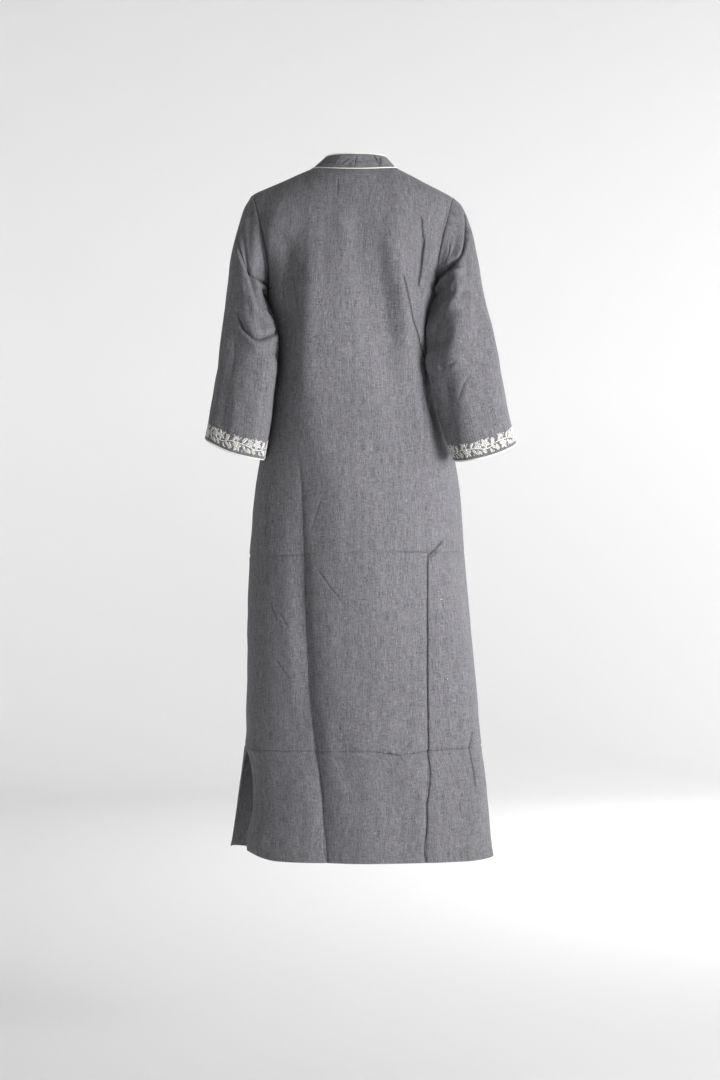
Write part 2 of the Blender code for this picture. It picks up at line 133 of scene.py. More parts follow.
def ease(x):
    """From 0 to 1, flat at both ends."""
    x = np.clip(x, 0, 1)
    return x * x * (3 - 2 * x)


# %% Small helpers for lines of points


def unit(vectors):
    """Vectors of length 1."""
    return vectors / np.linalg.norm(vectors, axis=-1)[..., None]


def steps(points):
    """The distance from each point of a line to the next."""
    return np.linalg.norm(np.diff(points, axis=0), axis=1)


def gone(points):
    """The distance of each point of a line from the first, along it."""
    return np.concatenate([[0], np.cumsum(steps(points))])


def from_edge(shares):
    """How far each share across a panel is from the nearer side."""
    return np.minimum(shares, 1 - shares)


def bell(x, width):
    """1 at 0, and nearly 0 beyond twice the width."""
    return np.exp(-((x / width) ** 2))


# %% The body, the side slits and the roundness
HEM_DROP = 1.205
SLIT_DROP = 1.015
UNDERARM_DROP = 0.2065
HEM_RISE = (0.011, 0.004)  # how much higher the hem is at its left and its right corner
HEM_RISE_SHARE = 0.18  # the share of the width, and the length above the hem, that this rise fades over
HEM_RISE_REACH = 0.19

# Half widths and depths of the ring round the body.
BODY = table(
    "| drop left right back front",
    """
206.5 150 143 121 128
220 149.2 142.2 121 129
235 146.2 138.6 120 130
262 139.8 131.8 119 129
290 136.8 130.8 117 127
330 136.5 132 114 123
375 141.5 139 111 119
415.5 149 149 110 117
470 161 166 115 116
511 169 177 121 117
560 176.5 185 127 118
649 184 191 130 120
791 189 203.5 128 121
932 190.5 211.5 125 122
1015 191.5 214.5 124 124
1056 199 223 124 125
1091 203.5 228 124 126
1145 211 232 124 128
1205 220 239 125 130
""",
)
# How far each panel's edge swings away from the side seam's line at the open slits.
SLIT_EDGES = tables(
    "| drop out back",
    back_left="1015 0 0; 1049 -15 20; 1105 -27 32; 1142 -30 34; 1185 -26 30; 1205 -31 32",
    back_right="1015 0 0; 1060 0 10; 1205 1 20",
    front_left="1015 0 0; 1060 0 -12; 1205 1 -24",
    front_right="1015 0 0; 1060 -8 -14; 1205 -16 -26",
)
# The squareness of a half ring: 2 is an ellipse.
ROUNDNESS = tables(
    "drop power",
    back="0.2 2.25; 0.33 2.2; 0.6 2.35; 1.205 2.3",
    front="0.2 2.2; 0.33 2.2; 0.6 2.3; 1.205 2.3",
)
print(f"body: {len(BODY['drop'])} heights, hem {HEM_DROP} m below the neck")

# %% [markdown]
# ## One ring of the body
#
# Half a ring, from one side seam to the other, is a rounded rectangle whose four sizes come from the table.
# Its points are spaced by their distance along the cloth, so a fixed share of the way across is always the
# same share of the linen. That keeps the weave straight later on.

# %% A half ring at one height


def corner(face, hand, drop):
    """Where a panel's edge is: on the side seam, and apart from it below the top of the slit."""
    slit = SLIT_EDGES[f"{face}_{hand}"]
    return read(BODY, hand, drop) + read(slit, "out", drop), read(slit, "back", drop)


def section(face, drop, shares):
    """A half ring of the body at one height, from the left edge to the right one."""
    turn = np.linspace(0, math.pi, 361)
    across, bulge = np.cos(turn), np.sin(turn)
    power = 2 / read(ROUNDNESS[face], "power", drop)
    depth = read(BODY, face, drop) * SIGN[face]
    (left, left_y), (right, right_y) = (corner(face, hand, drop) for hand in HANDS)
    x = np.where(across > 0, left, right) * np.sign(across) * np.abs(across) ** power
    edge_y = left_y * (1 + across) / 2 + right_y * (1 - across) / 2
    y = edge_y + (depth - edge_y) * bulge**power
    length = np.concatenate([[0], np.cumsum(np.hypot(np.diff(x), np.diff(y)))])
    at = shares * length[-1]
    rise = np.where(shares < 0.5, *HEM_RISE) * (1 - ease(from_edge(shares) / HEM_RISE_SHARE))
    rise = rise * ease((drop - SLIT_DROP) / HEM_RISE_REACH)
    return np.stack([np.interp(at, length, x), np.interp(at, length, y), rise - drop], 1)


print("half ring at the hips:", section("back", 0.65, np.linspace(0, 1, 5)).round(3).tolist())

# %% [markdown]
# ## The sleeves
#
# A sleeve is a tube of tilted rings. Each ring has an outer edge along the top of the arm and an inner edge
# below it. The first ring is the armhole, which is shared with the body, so the seam closes by itself. The
# last one is the flared cuff.

# %% Rings of a sleeve
SLEEVES = tables(
    "share | outer outer_drop inner inner_drop back front middle sag",
    left="""
0 180.5 38.3 150 206.5 60 60 0 0
0.06 195 60 151.5 211 61 60 3 0
0.14 206 98 152 219 60 58 10 1
0.26 216.6 145.4 148 235 57 55 22 2
0.38 223.6 201.7 139.8 260 54 53 34 3
0.5 229 258.1 133 295 51 51 45 4
0.63 236 314.4 131.8 340 50 50 53 5
0.76 243 370.8 138.5 396 50 50 60 7
0.9 252 428 147 458 51 50 66 9
1 259.7 470.3 156 505 52 51 70 11
""",
    right="""
0 171.7 42.8 143 206.5 60 60 0 0
0.06 188 60 144.5 210.5 61 60 3 0
0.14 198.5 95 144.5 218 60 58 10 1
0.26 209 145.4 140 234 58 55 22 2
0.38 218.4 201.7 132.3 260 56 54 34 3
0.5 232 258.1 128 295 55 53 45 4
0.63 246 314.4 127 340 56 53 53 5
0.76 257.5 370.8 137 396 56 53 60 7
0.9 268 428 154 462 56 53 66 9
1 279 479 172 508 55 52 70 11
""",
)
ARMHOLE_BOW = 0.0055


def sleeve_ring(hand, share, turn):
    """One ring of a sleeve: the outer edge at 0, the back at 90 and the inner edge at 180 degrees."""
    outer, outer_drop, inner, inner_drop, back, front, middle, sag = (
        read(SLEEVES[hand], column, share) for column in list(SLEEVES[hand])[1:]
    )
    depth = np.where(np.sin(turn) > 0, back, front)
    bow = ARMHOLE_BOW * (1 - ease(share / 0.2)) * np.sin(turn) ** 2 * (1 - 0.6 * np.cos(turn))
    out = (1 + np.cos(turn)) / 2
    x = inner + (outer - inner) * out - bow
    y = middle + depth * np.sin(turn)
    z = -inner_drop + (inner_drop - outer_drop) * out - sag * np.sin(turn)
    return np.stack([SIGN[hand] * x, y, z], 1)


def armhole_edge(hand, turns, side, sink=0.0008, gap=0.0005):
    """A piece's edge at the armhole, rolled in: the panels' one (side -1) or the sleeve's one (side 1)."""
    ring = sleeve_ring(hand, 0.0, turns)
    top, back, foot = sleeve_ring(hand, 0.0, np.radians([0, 90, 180]))
    middle = (top + foot) / 2
    sideways = np.cross(top - foot, back - middle)
    sideways *= np.sign(sideways[0] * middle[0]) * side / np.linalg.norm(sideways)
    return ring + unit(middle - ring) * sink + sideways * gap / 2


for hand in HANDS:
    cuff = sleeve_ring(hand, 1.0, np.linspace(0, 2 * math.pi, 200))
    print(f"{hand} cuff: {steps(cuff).sum():.3f} m round")

# %% [markdown]
# ## The neck, the collar and the shoulders
#
# The neckline is an oval that dips at the front. The stand collar leans in from it. Above the underarm a
# panel no longer follows level rings: its rows climb from the level of the underarm to the shoulder seams
# and the neckline, while its side edges follow the armholes.

# %% The neckline and the collar's edges
PIPING_RADIUS = 0.0011
SEAM_GAP = 0.0003
NECK_SLIT_DROP = 0.195
NECK_SLIT_HALF = 0.0075
NECK = {"left": 0.0757, "right": 0.0745, "back": 0.055, "front": 0.092, "rise": 0.008, "dip": 0.066}
COLLAR = {"left": 0.0535, "right": 0.0570, "back": 0.0455, "front": 0.0800, "rise": 0.027, "dip": 0.040}


def oval(size, turn, back_fall):
    """Points on an oval: the left at 0, the back at 90, the right at 180, the front at 270 degrees.

    back_fall is how far it drops at the back.
    """
    across, deep = np.cos(turn), np.sin(turn)
    x = across * np.where(across > 0, size["left"], size["right"])
    y = deep * np.where(deep > 0, size["back"], size["front"])
    fall = np.where(deep > 0, back_fall, size["rise"] + size["dip"])
    return np.stack([x, y, size["rise"] - deep**2 * fall], 1)


def neckline(turn):
    """The neck seam."""
    return oval(NECK, turn, NECK["rise"])


def collar_top(turn):
    """The collar's upper edge, over the neckline."""
    return oval(COLLAR, turn, 0)


at_back = collar_top(np.array([math.pi / 2]))[0, 2]
print("collar, at the back:", round(float(at_back), 3), "m above the neck seam")

# %% The rows above the underarm
SHOULDER_SHARE = 0.26
NEAR_ARMHOLE = 0.35


def top_edge(face, shares):
    """A panel's top, from the left shoulder point along the seam, the neckline and the other seam."""
    left, right = (sleeve_ring(hand, 0.0, np.zeros(1))[0] for hand in HANDS)
    in_neck = np.clip((shares - SHOULDER_SHARE) / (1 - 2 * SHOULDER_SHARE), 0, 1)
    neck = neckline(SIGN[face] * in_neck * math.pi)
    away = unit(neck / (NECK["left"] ** 2, NECK[face] ** 2, math.inf))
    neck += (PIPING_RADIUS + 2 * SEAM_GAP) * (away * 0.77 - np.array([0, 0, 0.64]))
    ends = np.where((shares < 0.5)[:, None], left, right)
    return ends + (neck - ends) * np.minimum(from_edge(shares) / SHOULDER_SHARE, 1)[:, None]


def upper_row(face, climb, shares):
    """A line across a panel above the underarm. climb is 0 there and 1 at the top edge."""
    edge = from_edge(shares)
    near = 1 - ease(edge / NEAR_ARMHOLE)
    by_turn = (1 - math.cos(climb * math.pi)) / 2
    rise = by_turn * near + (1 - (1 - climb) ** 1.6) * (1 - near)
    low, top = section(face, UNDERARM_DROP, shares), top_edge(face, shares)
    power = 2.2 - 0.75 * ease((edge - 0.22) / 0.2)
    over = np.clip(1 - rise**power, 0, 1) ** (1 / power)
    row = low + (top - low) * rise[:, None]
    row[:, 1] = top[:, 1] + (low[:, 1] - top[:, 1]) * over
    for hand, end, mine in (("left", 0, shares < 0.5), ("right", -1, shares >= 0.5)):
        seam = sleeve_ring(hand, 0.0, np.array([SIGN[face] * (1 - climb) * math.pi]))[0]
        row += np.clip(1 - edge / NEAR_ARMHOLE, 0, 1)[:, None] ** 2 * mine[:, None] * (seam - row[end])
    return row


print("shoulder seams meet the neck at", top_edge("back", np.array([0.26, 0.74])).round(3).tolist())

# %% [markdown]
# ## Drape folds, press creases and crumples
#
# Linen holds three kinds of crease. Soft drape folds hang from the shoulder blades and the hips. Sharp press
# creases come from the folded shirt board: two run down, two run across. Small crumples sit where two
# creases cross or where the cloth was sat on. Each one is a row of a table: where it starts and ends, how
# deep it is and how wide. A cloth simulation would give folds of its own, but not these ones.

# %% Soft drape folds of the panels
FOLD = "| x drop to_x to_drop depth width"
FOLDS = tables(
    FOLD,
    back="""
117 110 108 330 -8 12
72 100 80 430 6 17
-34 100 -74 340 -6.5 14
-72 130 -100 390 7 15
-118 90 -110 240 -6 11
122 560 112 1000 3.5 15
20 900 0 1250 -3 26
""",
    front="""
112 130 90 330 -10 14
70 200 78 470 6 18
-108 120 -88 350 -10.5 14
-66 210 -82 480 6.5 17
60 520 88 1250 -4.5 20
-70 470 -96 1250 -5.5 19
10 640 0 1250 -3.5 26
118 600 140 1250 4 18
""",
)

# %% Broad planes of the back, where it hangs from the shoulder blades and swings at the hips
PLANES = table(
    FOLD,
    """
122 556 60 1310 -12 40
129 739 162 1430 -9 50
-12 650 -18 1345 3 34
-182 760 -232 1340 11 33
33 390 -12 837 11 58
-140 430 -185 830 -8 56
25 -14 -111 552 -13 37
84 140 71 571 11 56
-41 97 -93 330 9 32
21 51 13 187 5 23
-104 -50 -192 112 11 48
112 20 180 190 9 26
-20 589 -69 1065 3.5 25
132 60 128 260 5 30
""",
)

# %% Small crumples of the panels
CRUMPLES = tables(
    FOLD,
    back="""
-106 120 -102 230 1.6 5
-85 190 -110 300 -1.2 6
-108 290 -121.5 370 -1.6 5
107.5 180 107.5 270 1.6 5
40 70 25 175 -1.6 9
-190 985 -188 1045 1.6 6
""",
    front="""
90 330 110 400 -2 7
-96 320 -113 400 -2.2 7
50 220 25 290 -1.2 6.5
-48 250 -20 300 -1.2 6.5
""",
)


def fold_height(place, start, end, depth, width):
    """How far one fold lifts each place (2 numbers each) on a flat map of the cloth."""
    run = end - start
    along = np.clip((place - start) @ run / (run @ run), 0, 1)
    aside = np.linalg.norm(place - start - along[..., None] * run, axis=-1)
    return depth * (ease(along / 0.3) * ease((1 - along) / 0.3)) * bell(aside, width)


def folds_of(rows, place):
    """The lift that all the rows of a table of folds give each place."""
    lift = np.zeros(place.shape[:-1])
    for row in zip(*rows.values()):
        lift += fold_height(place, np.array(row[0:2]), np.array(row[2:4]), row[4], row[5])
    return lift


print("folds and crumples of the back:", len(FOLDS["back"]["x"]) + len(CRUMPLES["back"]["x"]))

# %% [markdown]
# A press crease is different from a drape fold: it has a sharp bottom, and its two slopes needn't match. The
# next tables say where each one runs, how deep it is at each height and how far each slope reaches.

# %% Press creases: two down each panel, two across
PRESSED_DOWN = tables(
    "| drop x depth left_reach right_reach",
    back_left="""
480 96 0 20 12
580 91.5 2 24 13
680 87.2 4.2 27 14
815 84 5 28 15
902 80 5.6 28 18
1007 69.4 6.6 28 32
1127 55.8 8.4 30 46
1205 49 6.8 28 40
""",
    back_right="""
480 -122.8 0 10 10
597 -122 0.5 10 10
670 -125.8 2.2 11 12
767 -124.2 2.2 11 12
902 -124.3 2.2 11 12
1010 -125.5 2.4 12 13
1105 -122.8 2.4 12 13
1205 -121.8 2.2 12 13
""",
    front_left="""
480 112 0 10 12
650 110 2.2 12 14
900 112 2.6 12 16
1205 116 2.6 12 16
""",
    front_right="""
480 -106 0 10 10
650 -104 2.4 12 12
900 -100 3.4 14 16
1205 -96 3.4 16 18
""",
)
# The drop of each crease across, at places across the panel.
PRESSED_ACROSS = tables(
    "| x drop",
    back_upper="-260 670.5; -126 669.5; 30 668; 110 674.5; 260 677.2",
    back_lower="-260 1009.5; -126 1012.2; -78 1018; -30 1012.2; 260 1015",
    front_upper="-260 672; 0 669.5; 260 671.5",
    front_lower="-260 1010.5; 0 1012.5; 260 1015",
)
PRESS_DROPS = {"upper": 0.6695, "lower": 1.0122}
PRESS_SWINGS = {"upper": 0.0012, "lower": 0.0032}
ACROSS_DEPTH = 0.0016
ACROSS_REACH = 0.0060
GROOVE_DEPTH = 0.0008
GROOVE_REACH = 0.0018


def valley(distance, reach):
    """1 at the bottom of a pressed crease, and 0 where its slopes end: sharp below, soft above."""
    return np.clip(1 - np.abs(distance) / reach, 0, 1) ** 1.7


def pressed(face, x, drop):
    """The lift that the press creases give: down first, then across with the cloth swung under them."""
    lift = np.zeros(x.shape)
    for hand in HANDS:
        rows = PRESSED_DOWN[f"{face}_{hand}"]
        at, depth, left, right = (read(rows, name, drop) for name in list(rows)[1:])
        lift -= depth * valley(x - at, np.where(x - at > 0, left, right))
        lift -= GROOVE_DEPTH * ease(depth / 0.002) * bell(x - at, GROOVE_REACH)
    for line, swing in PRESS_SWINGS.items():
        below = drop - read(PRESSED_ACROSS[f"{face}_{line}"], "drop", x)
        lift -= ACROSS_DEPTH * valley(below, ACROSS_REACH)
        lift += swing * np.exp(-np.abs(below) / np.where(below > 0, 0.050, 0.035))
    return lift


print("deepest press crease:", max(rows["depth"].max() for rows in PRESSED_DOWN.values()), "m")

# %% [markdown]
# Between its folds linen is never quite flat. A few low waves in uneven directions, each with its own
# length, take the moulded look away. Their sum is a simple noise that gives the same cloth every time.

# %% Low uneven waves
WAVES = table(
    "along across phase | height",
    """
61 7 0.4 0.5
43 -19 2.1 0.55
97 23 4 0.26
29 31 1.3 0.5
130 -41 5.2 0.16
151 67 0.9 0.12
19 -88 3.3 0.22
71 120 2.7 0.12
""",
)


def waves(u, v):
    """The lift of the low waves at places on the cloth, in metres."""
    lift = np.zeros(u.shape)
    for along, across, phase, height in zip(*WAVES.values()):
        bend = 0.6 * np.sin(v * across * 0.31 + phase * 3)
        lift += height * np.sin(u * along + v * across + phase + bend)
    return lift


print("highest wave:", WAVES["height"].max(), "m")

# %% [markdown]
# ## The fine grid of a panel
#
# A grid of faces shows a sharp crease only where a line of the grid runs along it. So two columns of each
# panel follow the creases that run down, with more columns close beside them, and the rows follow the
# creases across. Everywhere else the grid is even.

# %% Rows and columns
CELL = 0.0045
CLOSE = np.array([-0.0062, -0.0032, -0.0014, 0.0, 0.0014, 0.0032, 0.0062])
ROLL = (0.0, 0.0022, 0.0050, 0.0085)  # columns beside a side seam, where the cloth rolls into it
SPANS = (22, 24, 24, 22)  # columns from the left seam to a crease, the middle, the other crease, the seam
HEM_TURN = 0.0110  # from the hem's edge to its stitches
UPPER_ROWS = 54


def column_shares(left, right, girth):
    """Shares across a row, closer beside the creases at left and right."""
    close, roll = CLOSE / girth, np.array(ROLL) / girth
    starts = (roll[-1], left + close[-1], 0.5, right + close[-1])
    ends = (left + close[0], 0.5, right + close[0], 1 - roll[-1])
    a, b, c, d = (np.linspace(start, end, n + 1)[1:-1] for start, end, n in zip(starts, ends, SPANS))
    return np.concatenate([roll, a, left + close, b, [0.5], c, right + close, d, 1 - roll[::-1]])


def row_drops():
    """The drop of each row below the underarm, from the hem up, closer at the creases and the hem."""
    even = np.arange(HEM_DROP, UNDERARM_DROP, -CELL)
    lines = [(drop, CLOSE) for drop in PRESS_DROPS.values()]
    lines += [(HEM_DROP - HEM_TURN, CLOSE[1:-1]), (HEM_DROP, CLOSE[:4])]
    for line, close in lines:
        even = even[(even < line + close[0] - CELL / 3) | (even > line + close[-1] + CELL / 3)]
    extra = np.concatenate([line + close for line, close in lines])
    return np.sort(np.concatenate([even, extra]))[::-1]


def crease_shares(face, drop):
    """Where the two creases that run down cross a row, and the row's length."""
    shares = np.linspace(0, 1, 401)
    row = section(face, drop, shares)
    places = (-read(PRESSED_DOWN[f"{face}_{hand}"], "x", drop) for hand in HANDS)
    low = [np.interp(place, -row[:, 0], shares) for place in places]
    blend = ease((drop - UNDERARM_DROP) / 0.25)
    high = (SHOULDER_SHARE, 1 - SHOULDER_SHARE)
    return [a + (b - a) * blend for a, b in zip(high, low)] + [steps(row).sum()]


drops = row_drops()
print(f"{len(drops) + UPPER_ROWS} rows, {len(column_shares(0.3, 0.75, 0.5))} columns")

# %% The panel's points, before its folds


def softened(row, shares, reach=0.03):
    """A row without its corners: each place is the mean of the places around it."""
    even = np.linspace(-0.1, 1.1, 481)
    near = bell(np.arange(-36, 37) * (even[1] - even[0]), reach)
    near /= near.sum()
    smooth = [np.convolve(np.interp(even, shares, row[:, k]), near, "same") for k in range(3)]
    return np.stack([np.interp(shares, even, line) for line in smooth], 1)


def smooth_panel(face):
    """The points of a panel with no folds, from the hem up, and the share of each."""
    rows, shares = [], []
    for drop in drops:
        shares.append(column_shares(*crease_shares(face, drop)))
        rows.append(section(face, drop, shares[-1]))
    at = column_shares(*crease_shares(face, UNDERARM_DROP))
    climbs = np.append(np.linspace(0, 1, UPPER_ROWS + 1)[:-1], [1 - 0.3 / UPPER_ROWS, 1])
    for climb in climbs:
        row = upper_row(face, climb, at)
        soften = ease((1 - climb) / 0.22) * ease(from_edge(at) / 0.15)
        rows.append(row + soften[:, None] * (softened(row, at) - row))
        shares.append(at)
    return np.array(rows), np.array(shares), np.concatenate([np.full(len(drops), -1), climbs])


def follow_creases(face, grid):
    """Slides the points up or down the cloth so that rows run along the creases across."""
    low = grid[: len(drops)]
    place = -low[..., 2]
    shift = np.zeros(place.shape)
    for line, drop in PRESS_DROPS.items():
        wander = read(PRESSED_ACROSS[f"{face}_{line}"], "drop", low[..., 0]) - drop
        shift += wander * bell(place - drop, 0.02)
    for column in range(grid.shape[1]):
        was = low[:, column].copy()
        at = was[:, 2] - shift[:, column]
        low[:, column] = np.stack([np.interp(at, was[:, 2], line) for line in was.T], 1)


def outward(grid, closed=False):
    """The unit normal at each point of a grid whose rows go up and whose columns go round."""
    around = np.roll(grid, -1, 1) - np.roll(grid, 1, 1) if closed else np.gradient(grid, axis=1)
    return unit(np.cross(around, np.gradient(grid, axis=0)))


print("smooth back panel:", smooth_panel("back")[0].shape)

# %% [markdown]
# ## Seams and the hem
#
# At a seam both pieces roll in a little, which draws the fine dark line that the eye reads as sewing. The
# hem is turned up twice and stitched, so the cloth is thicker below the stitches and a little drawn in
# along them, with the small ripples that a machine leaves.

# %% Seams, hem and slit edges
SEAM_SINK = 0.0011
SLIT_TURN = 0.0080
CUFF_TURN = 0.0045
RIPPLE = 0.011  # from one ripple to the next


def stitched(distance, along, turn, height=0.00035):
    """The lift of a turned edge: thick up to its stitches, which sink in, with ripples along it."""
    past = distance - turn
    thick = height * (1 - ease(past / 0.0012))
    ripple = 0.00022 * np.sin(along * 2 * math.pi / RIPPLE + 2 * np.sin(along * 23))
    return thick - 0.00055 * bell(past, 0.0011) + ripple * bell(past, 0.006)


def sew_edges(face, grid, shares, climbs):
    """Rolls a panel's edges into its seams. The grid still runs from the left to the right."""
    aside = SIGN[face] * SEAM_GAP / 2
    upper = climbs >= 0
    sewn = (-grid[:, 0, 2] < SLIT_DROP + SEAM_GAP) & ~upper
    for hand, column in zip(HANDS, (0, -1)):
        grid[sewn, column] += (-SIGN[hand] * SEAM_SINK, aside, 0)
        turns = SIGN[face] * (1 - climbs[upper]) * math.pi
        grid[upper, column] = armhole_edge(hand, turns, -1, SEAM_SINK)
    shoulder = from_edge(shares[-1]) < SHOULDER_SHARE - 0.004
    shoulder[[0, -1]] = False
    grid[-1, shoulder] += (0, aside, -SEAM_SINK)
    grid[-1, [0, -1]] += (0, aside, 0)


print("a seam sinks", SEAM_SINK * 1000, "mm into the cloth")

# %% The panels' points
FRONT_PLANES = 0.7  # the front hangs as the back does, mirrored, weaker and a little shifted
FRONT_SHIFT = (-0.014, 0.030)
UPPER_REACH = 14  # a measure of the cloth above the underarm, for fading its folds out at the top


def panel_points(face):
    """The outer points of a panel with its folds, creases and hem, and the cloth's own metres at each."""
    grid, shares, climbs = smooth_panel(face)
    follow_creases(face, grid)
    u = np.array([gone(row) for row in grid])
    u -= u[:, [np.argmin(np.abs(shares[0] - 0.5))]]
    v = gone(grid[:, grid.shape[1] // 2])[:, None] + np.zeros(u.shape)
    normals = outward(grid) * SIGN[face]
    x, drop = grid[..., 0], -grid[..., 2]
    place = np.stack([x, drop], -1)
    from_side = from_edge(shares)
    from_top = np.where(climbs >= 0, 1 - climbs, 1)[:, None] * UPPER_REACH
    calm = ease(from_side / 0.08) * ease(from_top / 5)
    firm = ease(from_side / 0.03) * ease(from_top / 1.5)
    lift = calm * folds_of(FOLDS[face], place)
    if face == "back":
        lift += calm * folds_of(PLANES, place)
    else:
        lift += FRONT_PLANES * calm * folds_of(PLANES, place * (-1, 1) + FRONT_SHIFT)
    lift += firm * (folds_of(CRUMPLES[face], place) + pressed(face, x, drop) + waves(u, v))
    lift += stitched(v - v[0], u, HEM_TURN)
    low = ease((drop - SLIT_DROP - 0.004) / 0.01)
    for edge in (u - u[:, :1], u[:, -1:] - u):
        lift += low * stitched(edge, v, SLIT_TURN)
    grid += normals * lift[..., None]
    sew_edges(face, grid, shares, climbs)
    cloth = np.stack([SIGN[face] * u, v], -1)
    return grid[:, :: SIGN[face]], cloth[:, :: SIGN[face]]


def open_slit(grid):
    """Draws the cloth aside from the neck slit, and returns how far the middle column parts at each row."""
    middle = grid.shape[1] // 2
    drop = -grid[:, middle, 2]
    apart = NECK_SLIT_HALF * np.clip((NECK_SLIT_DROP - drop) / (NECK_SLIT_DROP - drop[-1]), 0, 1)
    aside = grid[..., 0] - grid[:, [middle], 0]
    grid[..., 0] += np.sign(aside) * np.clip(1 - np.abs(aside) / 0.05, 0, 1) ** 1.5 * apart[:, None]
    return apart


grids, cloths = {}, {}
for face in FACES:
    grids[face], cloths[face] = panel_points(face)
    print(f"{face} panel: {grids[face].shape[0]} x {grids[face].shape[1]} points")

# %% [markdown]
# ## Sharp crease lines
#
# Some creases are only a millimetre or two wide, which is finer than the grid. They belong to the finish: each
# is a short line on the cloth that the shader turns into a groove and darkens at its bottom with a little
# painted shade. The long press creases get a chain of such lines along their deepest place.

# %% The lines of each panel
CREASE_LINES = tables(
    FOLD + " soft",
    back="""
-125.8 674 -124.3 767 -2 1.5 20
-124.3 767 -124.3 902 -2 1.5 20
-124.3 902 -125.5 1010 -2 1.5 20
-125.5 1010 -122.8 1105 -2 1.5 20
-122.8 1105 -121.8 1203 -2 1.5 20
88 660 84 815 -1.4 1.5 20
84 815 80 902 -1.4 1.5 20
80 902 69.4 1007 -1.4 1.5 20
69.4 1007 55.8 1127 -1.4 1.5 20
55.8 1127 49 1203 -1.4 1.5 20
150 676.5 84 674.2 -0.8 1.2 20
84 674.2 73 667.2 -0.3 1.2 6
-65 668.8 -126 669.5 -1.1 1.2 20
-135 669.5 -190 670 -0.6 1.2 19
185 1015 60 1014 -1 1.3 20
60 1014 -30 1012.2 -1 1.3 20
-30 1012.2 -78 1018 -1 1.3 17
-78 1018 -126 1012.2 -1 1.3 17
-126 1012.2 -205 1010 -1 1.3 20
-115 88 -118 125 -2.4 2.8 12
-120.5 128 -110 208 -3.4 2.6 20
-119 360 -118 500 -1 2.8 20
107.5 190 93 275 -1.1 3 20
30 20 31 52 -0.7 2.2 11
-23 22 -24 58 -0.6 2 13
60.1 705 23 756 -0.8 1.8 20
68 696 36 742 -0.5 1.8 20
145.5 764 135 792 -1 2.6 10
130 776 116 800 -1 2.6 10
137 856 113 892 -0.9 2.8 15
-127.5 675 -151 651 -2.2 2.2 12
-133 683 -154 660 1.2 3.2 11
-129 680 -143 666 -1.4 1.8 7
-77 1014.5 -99 992 -1.2 1.6 12
-83 1020 -103 999 0.7 2.2 11
-77 1019 -88 1033 -1 1.4 8
-55 1015 -78 1021 -1 2.2 8
-204 980 -198 1011 -1.8 2.6 14
-198 1013 -208 1080 -2 2.6 20
56 570 76 635 -0.6 2 20
64 560 80 605 0.3 1.8 20
-83.5 193 -101 270 -2.4 2.6 20
-101 270 -122.5 333 -3 2.6 20
""",
    front="""
110 660 112 900 -0.9 1.3 20
112 900 116 1200 -0.9 1.3 20
-104 660 -100 900 -1 1.4 20
-100 900 -96 1200 -1 1.4 20
-170 671.5 0 669.5 -0.8 1.2 20
0 669.5 170 671 -0.8 1.2 20
-190 1011 0 1012.5 -1 1.3 20
0 1012.5 180 1014.5 -1 1.3 20
116 120 105 210 -1.8 3.6 20
-112 110 -100 220 -2 3.6 20
32 640 60 690 -1 3 20
-45 600 -20 650 -0.9 3 20
105 670 126 648 -1.8 2.4 11
-118 1012 -138 990 -1.8 2.4 10
70 1015 88 1035 -1.4 2.2 9
-10 820 -36 870 -0.7 3.2 20
82 880 95 930 -0.7 3 18
0 430 30 446 -0.6 3.6 12
""",
)


def on_cloth(face, x, drop):
    """The cloth's own metres at a place on a panel."""
    grid, cloth = grids[face], cloths[face]
    i, j = np.unravel_index(np.argmin((grid[..., 0] - x) ** 2 + (grid[..., 2] + drop) ** 2), grid.shape[:2])
    aside = (grid[i, j, 0] - x) * SIGN[face]
    return np.array([cloth[i, j, 0] + aside, cloth[i, j, 1] - grid[i, j, 2] - drop])


def cloth_lines(face):
    """The lines of a panel in the cloth's metres: start, end, depth, width and softness of its ends."""
    rows = zip(*CREASE_LINES[face].values())
    return [(on_cloth(face, *row[0:2]), on_cloth(face, *row[2:4]), *row[4:]) for row in rows]


print("crease lines:", {face: len(rows["x"]) for face, rows in CREASE_LINES.items()})

# %% [markdown]
# ## The sleeves' creases
#
# A sleeve creases where the arm meets the back: folds start at the lower half of the armhole and fan out
# down the arm. They are placed on a flat map of the sleeve, with the turn round it in degrees and the share
# of its length.

# %% Folds of the sleeves
SLEEVE_FOLD = "turn share to_turn to_share | depth width"
SLEEVE_FOLDS = tables(
    SLEEVE_FOLD,
    left="""
35 0.1 150 0.42 -7 11
60 0.3 160 0.56 5 12
110 0.56 175 0.62 -4.5 10
60 0.6 80 1.05 3.5 16
215 0.46 320 0.16 -6.5 11
200 0.6 300 0.32 5 12
280 0.5 262 1.05 -4 15
88 0.2 99 0.628 7.5 22
92 0.177 118 0.518 -7.5 15.5
60 0.368 59 1.15 -7.5 27
131 0.44 133 1.18 8.5 26
172 0.424 172 1.23 -3 14
35 -0.03 103 0.261 -4 14
100 0.455 153 0.409 6 38
""",
    right="""
75 0.3 165 0.55 5 12
75 0.42 70 0.66 4.5 14
120 0.62 150 0.98 -3.5 15
210 0.46 315 0.14 -7 11
205 0.62 295 0.34 5.5 12
255 0.56 275 1.05 -4.5 15
28 -0.09 21 0.782 7 19.5
78 0.108 108 0.732 7 20
111 0.382 201 0.652 -7 12
76 0.318 70 1.1 -7 28
120 0.54 148 1.02 -1 30
29 -0.032 197 0.461 -3 18
100 0.321 147 0.631 -7 21.5
168 0.08 168 0.82 6.2 11
""",
)
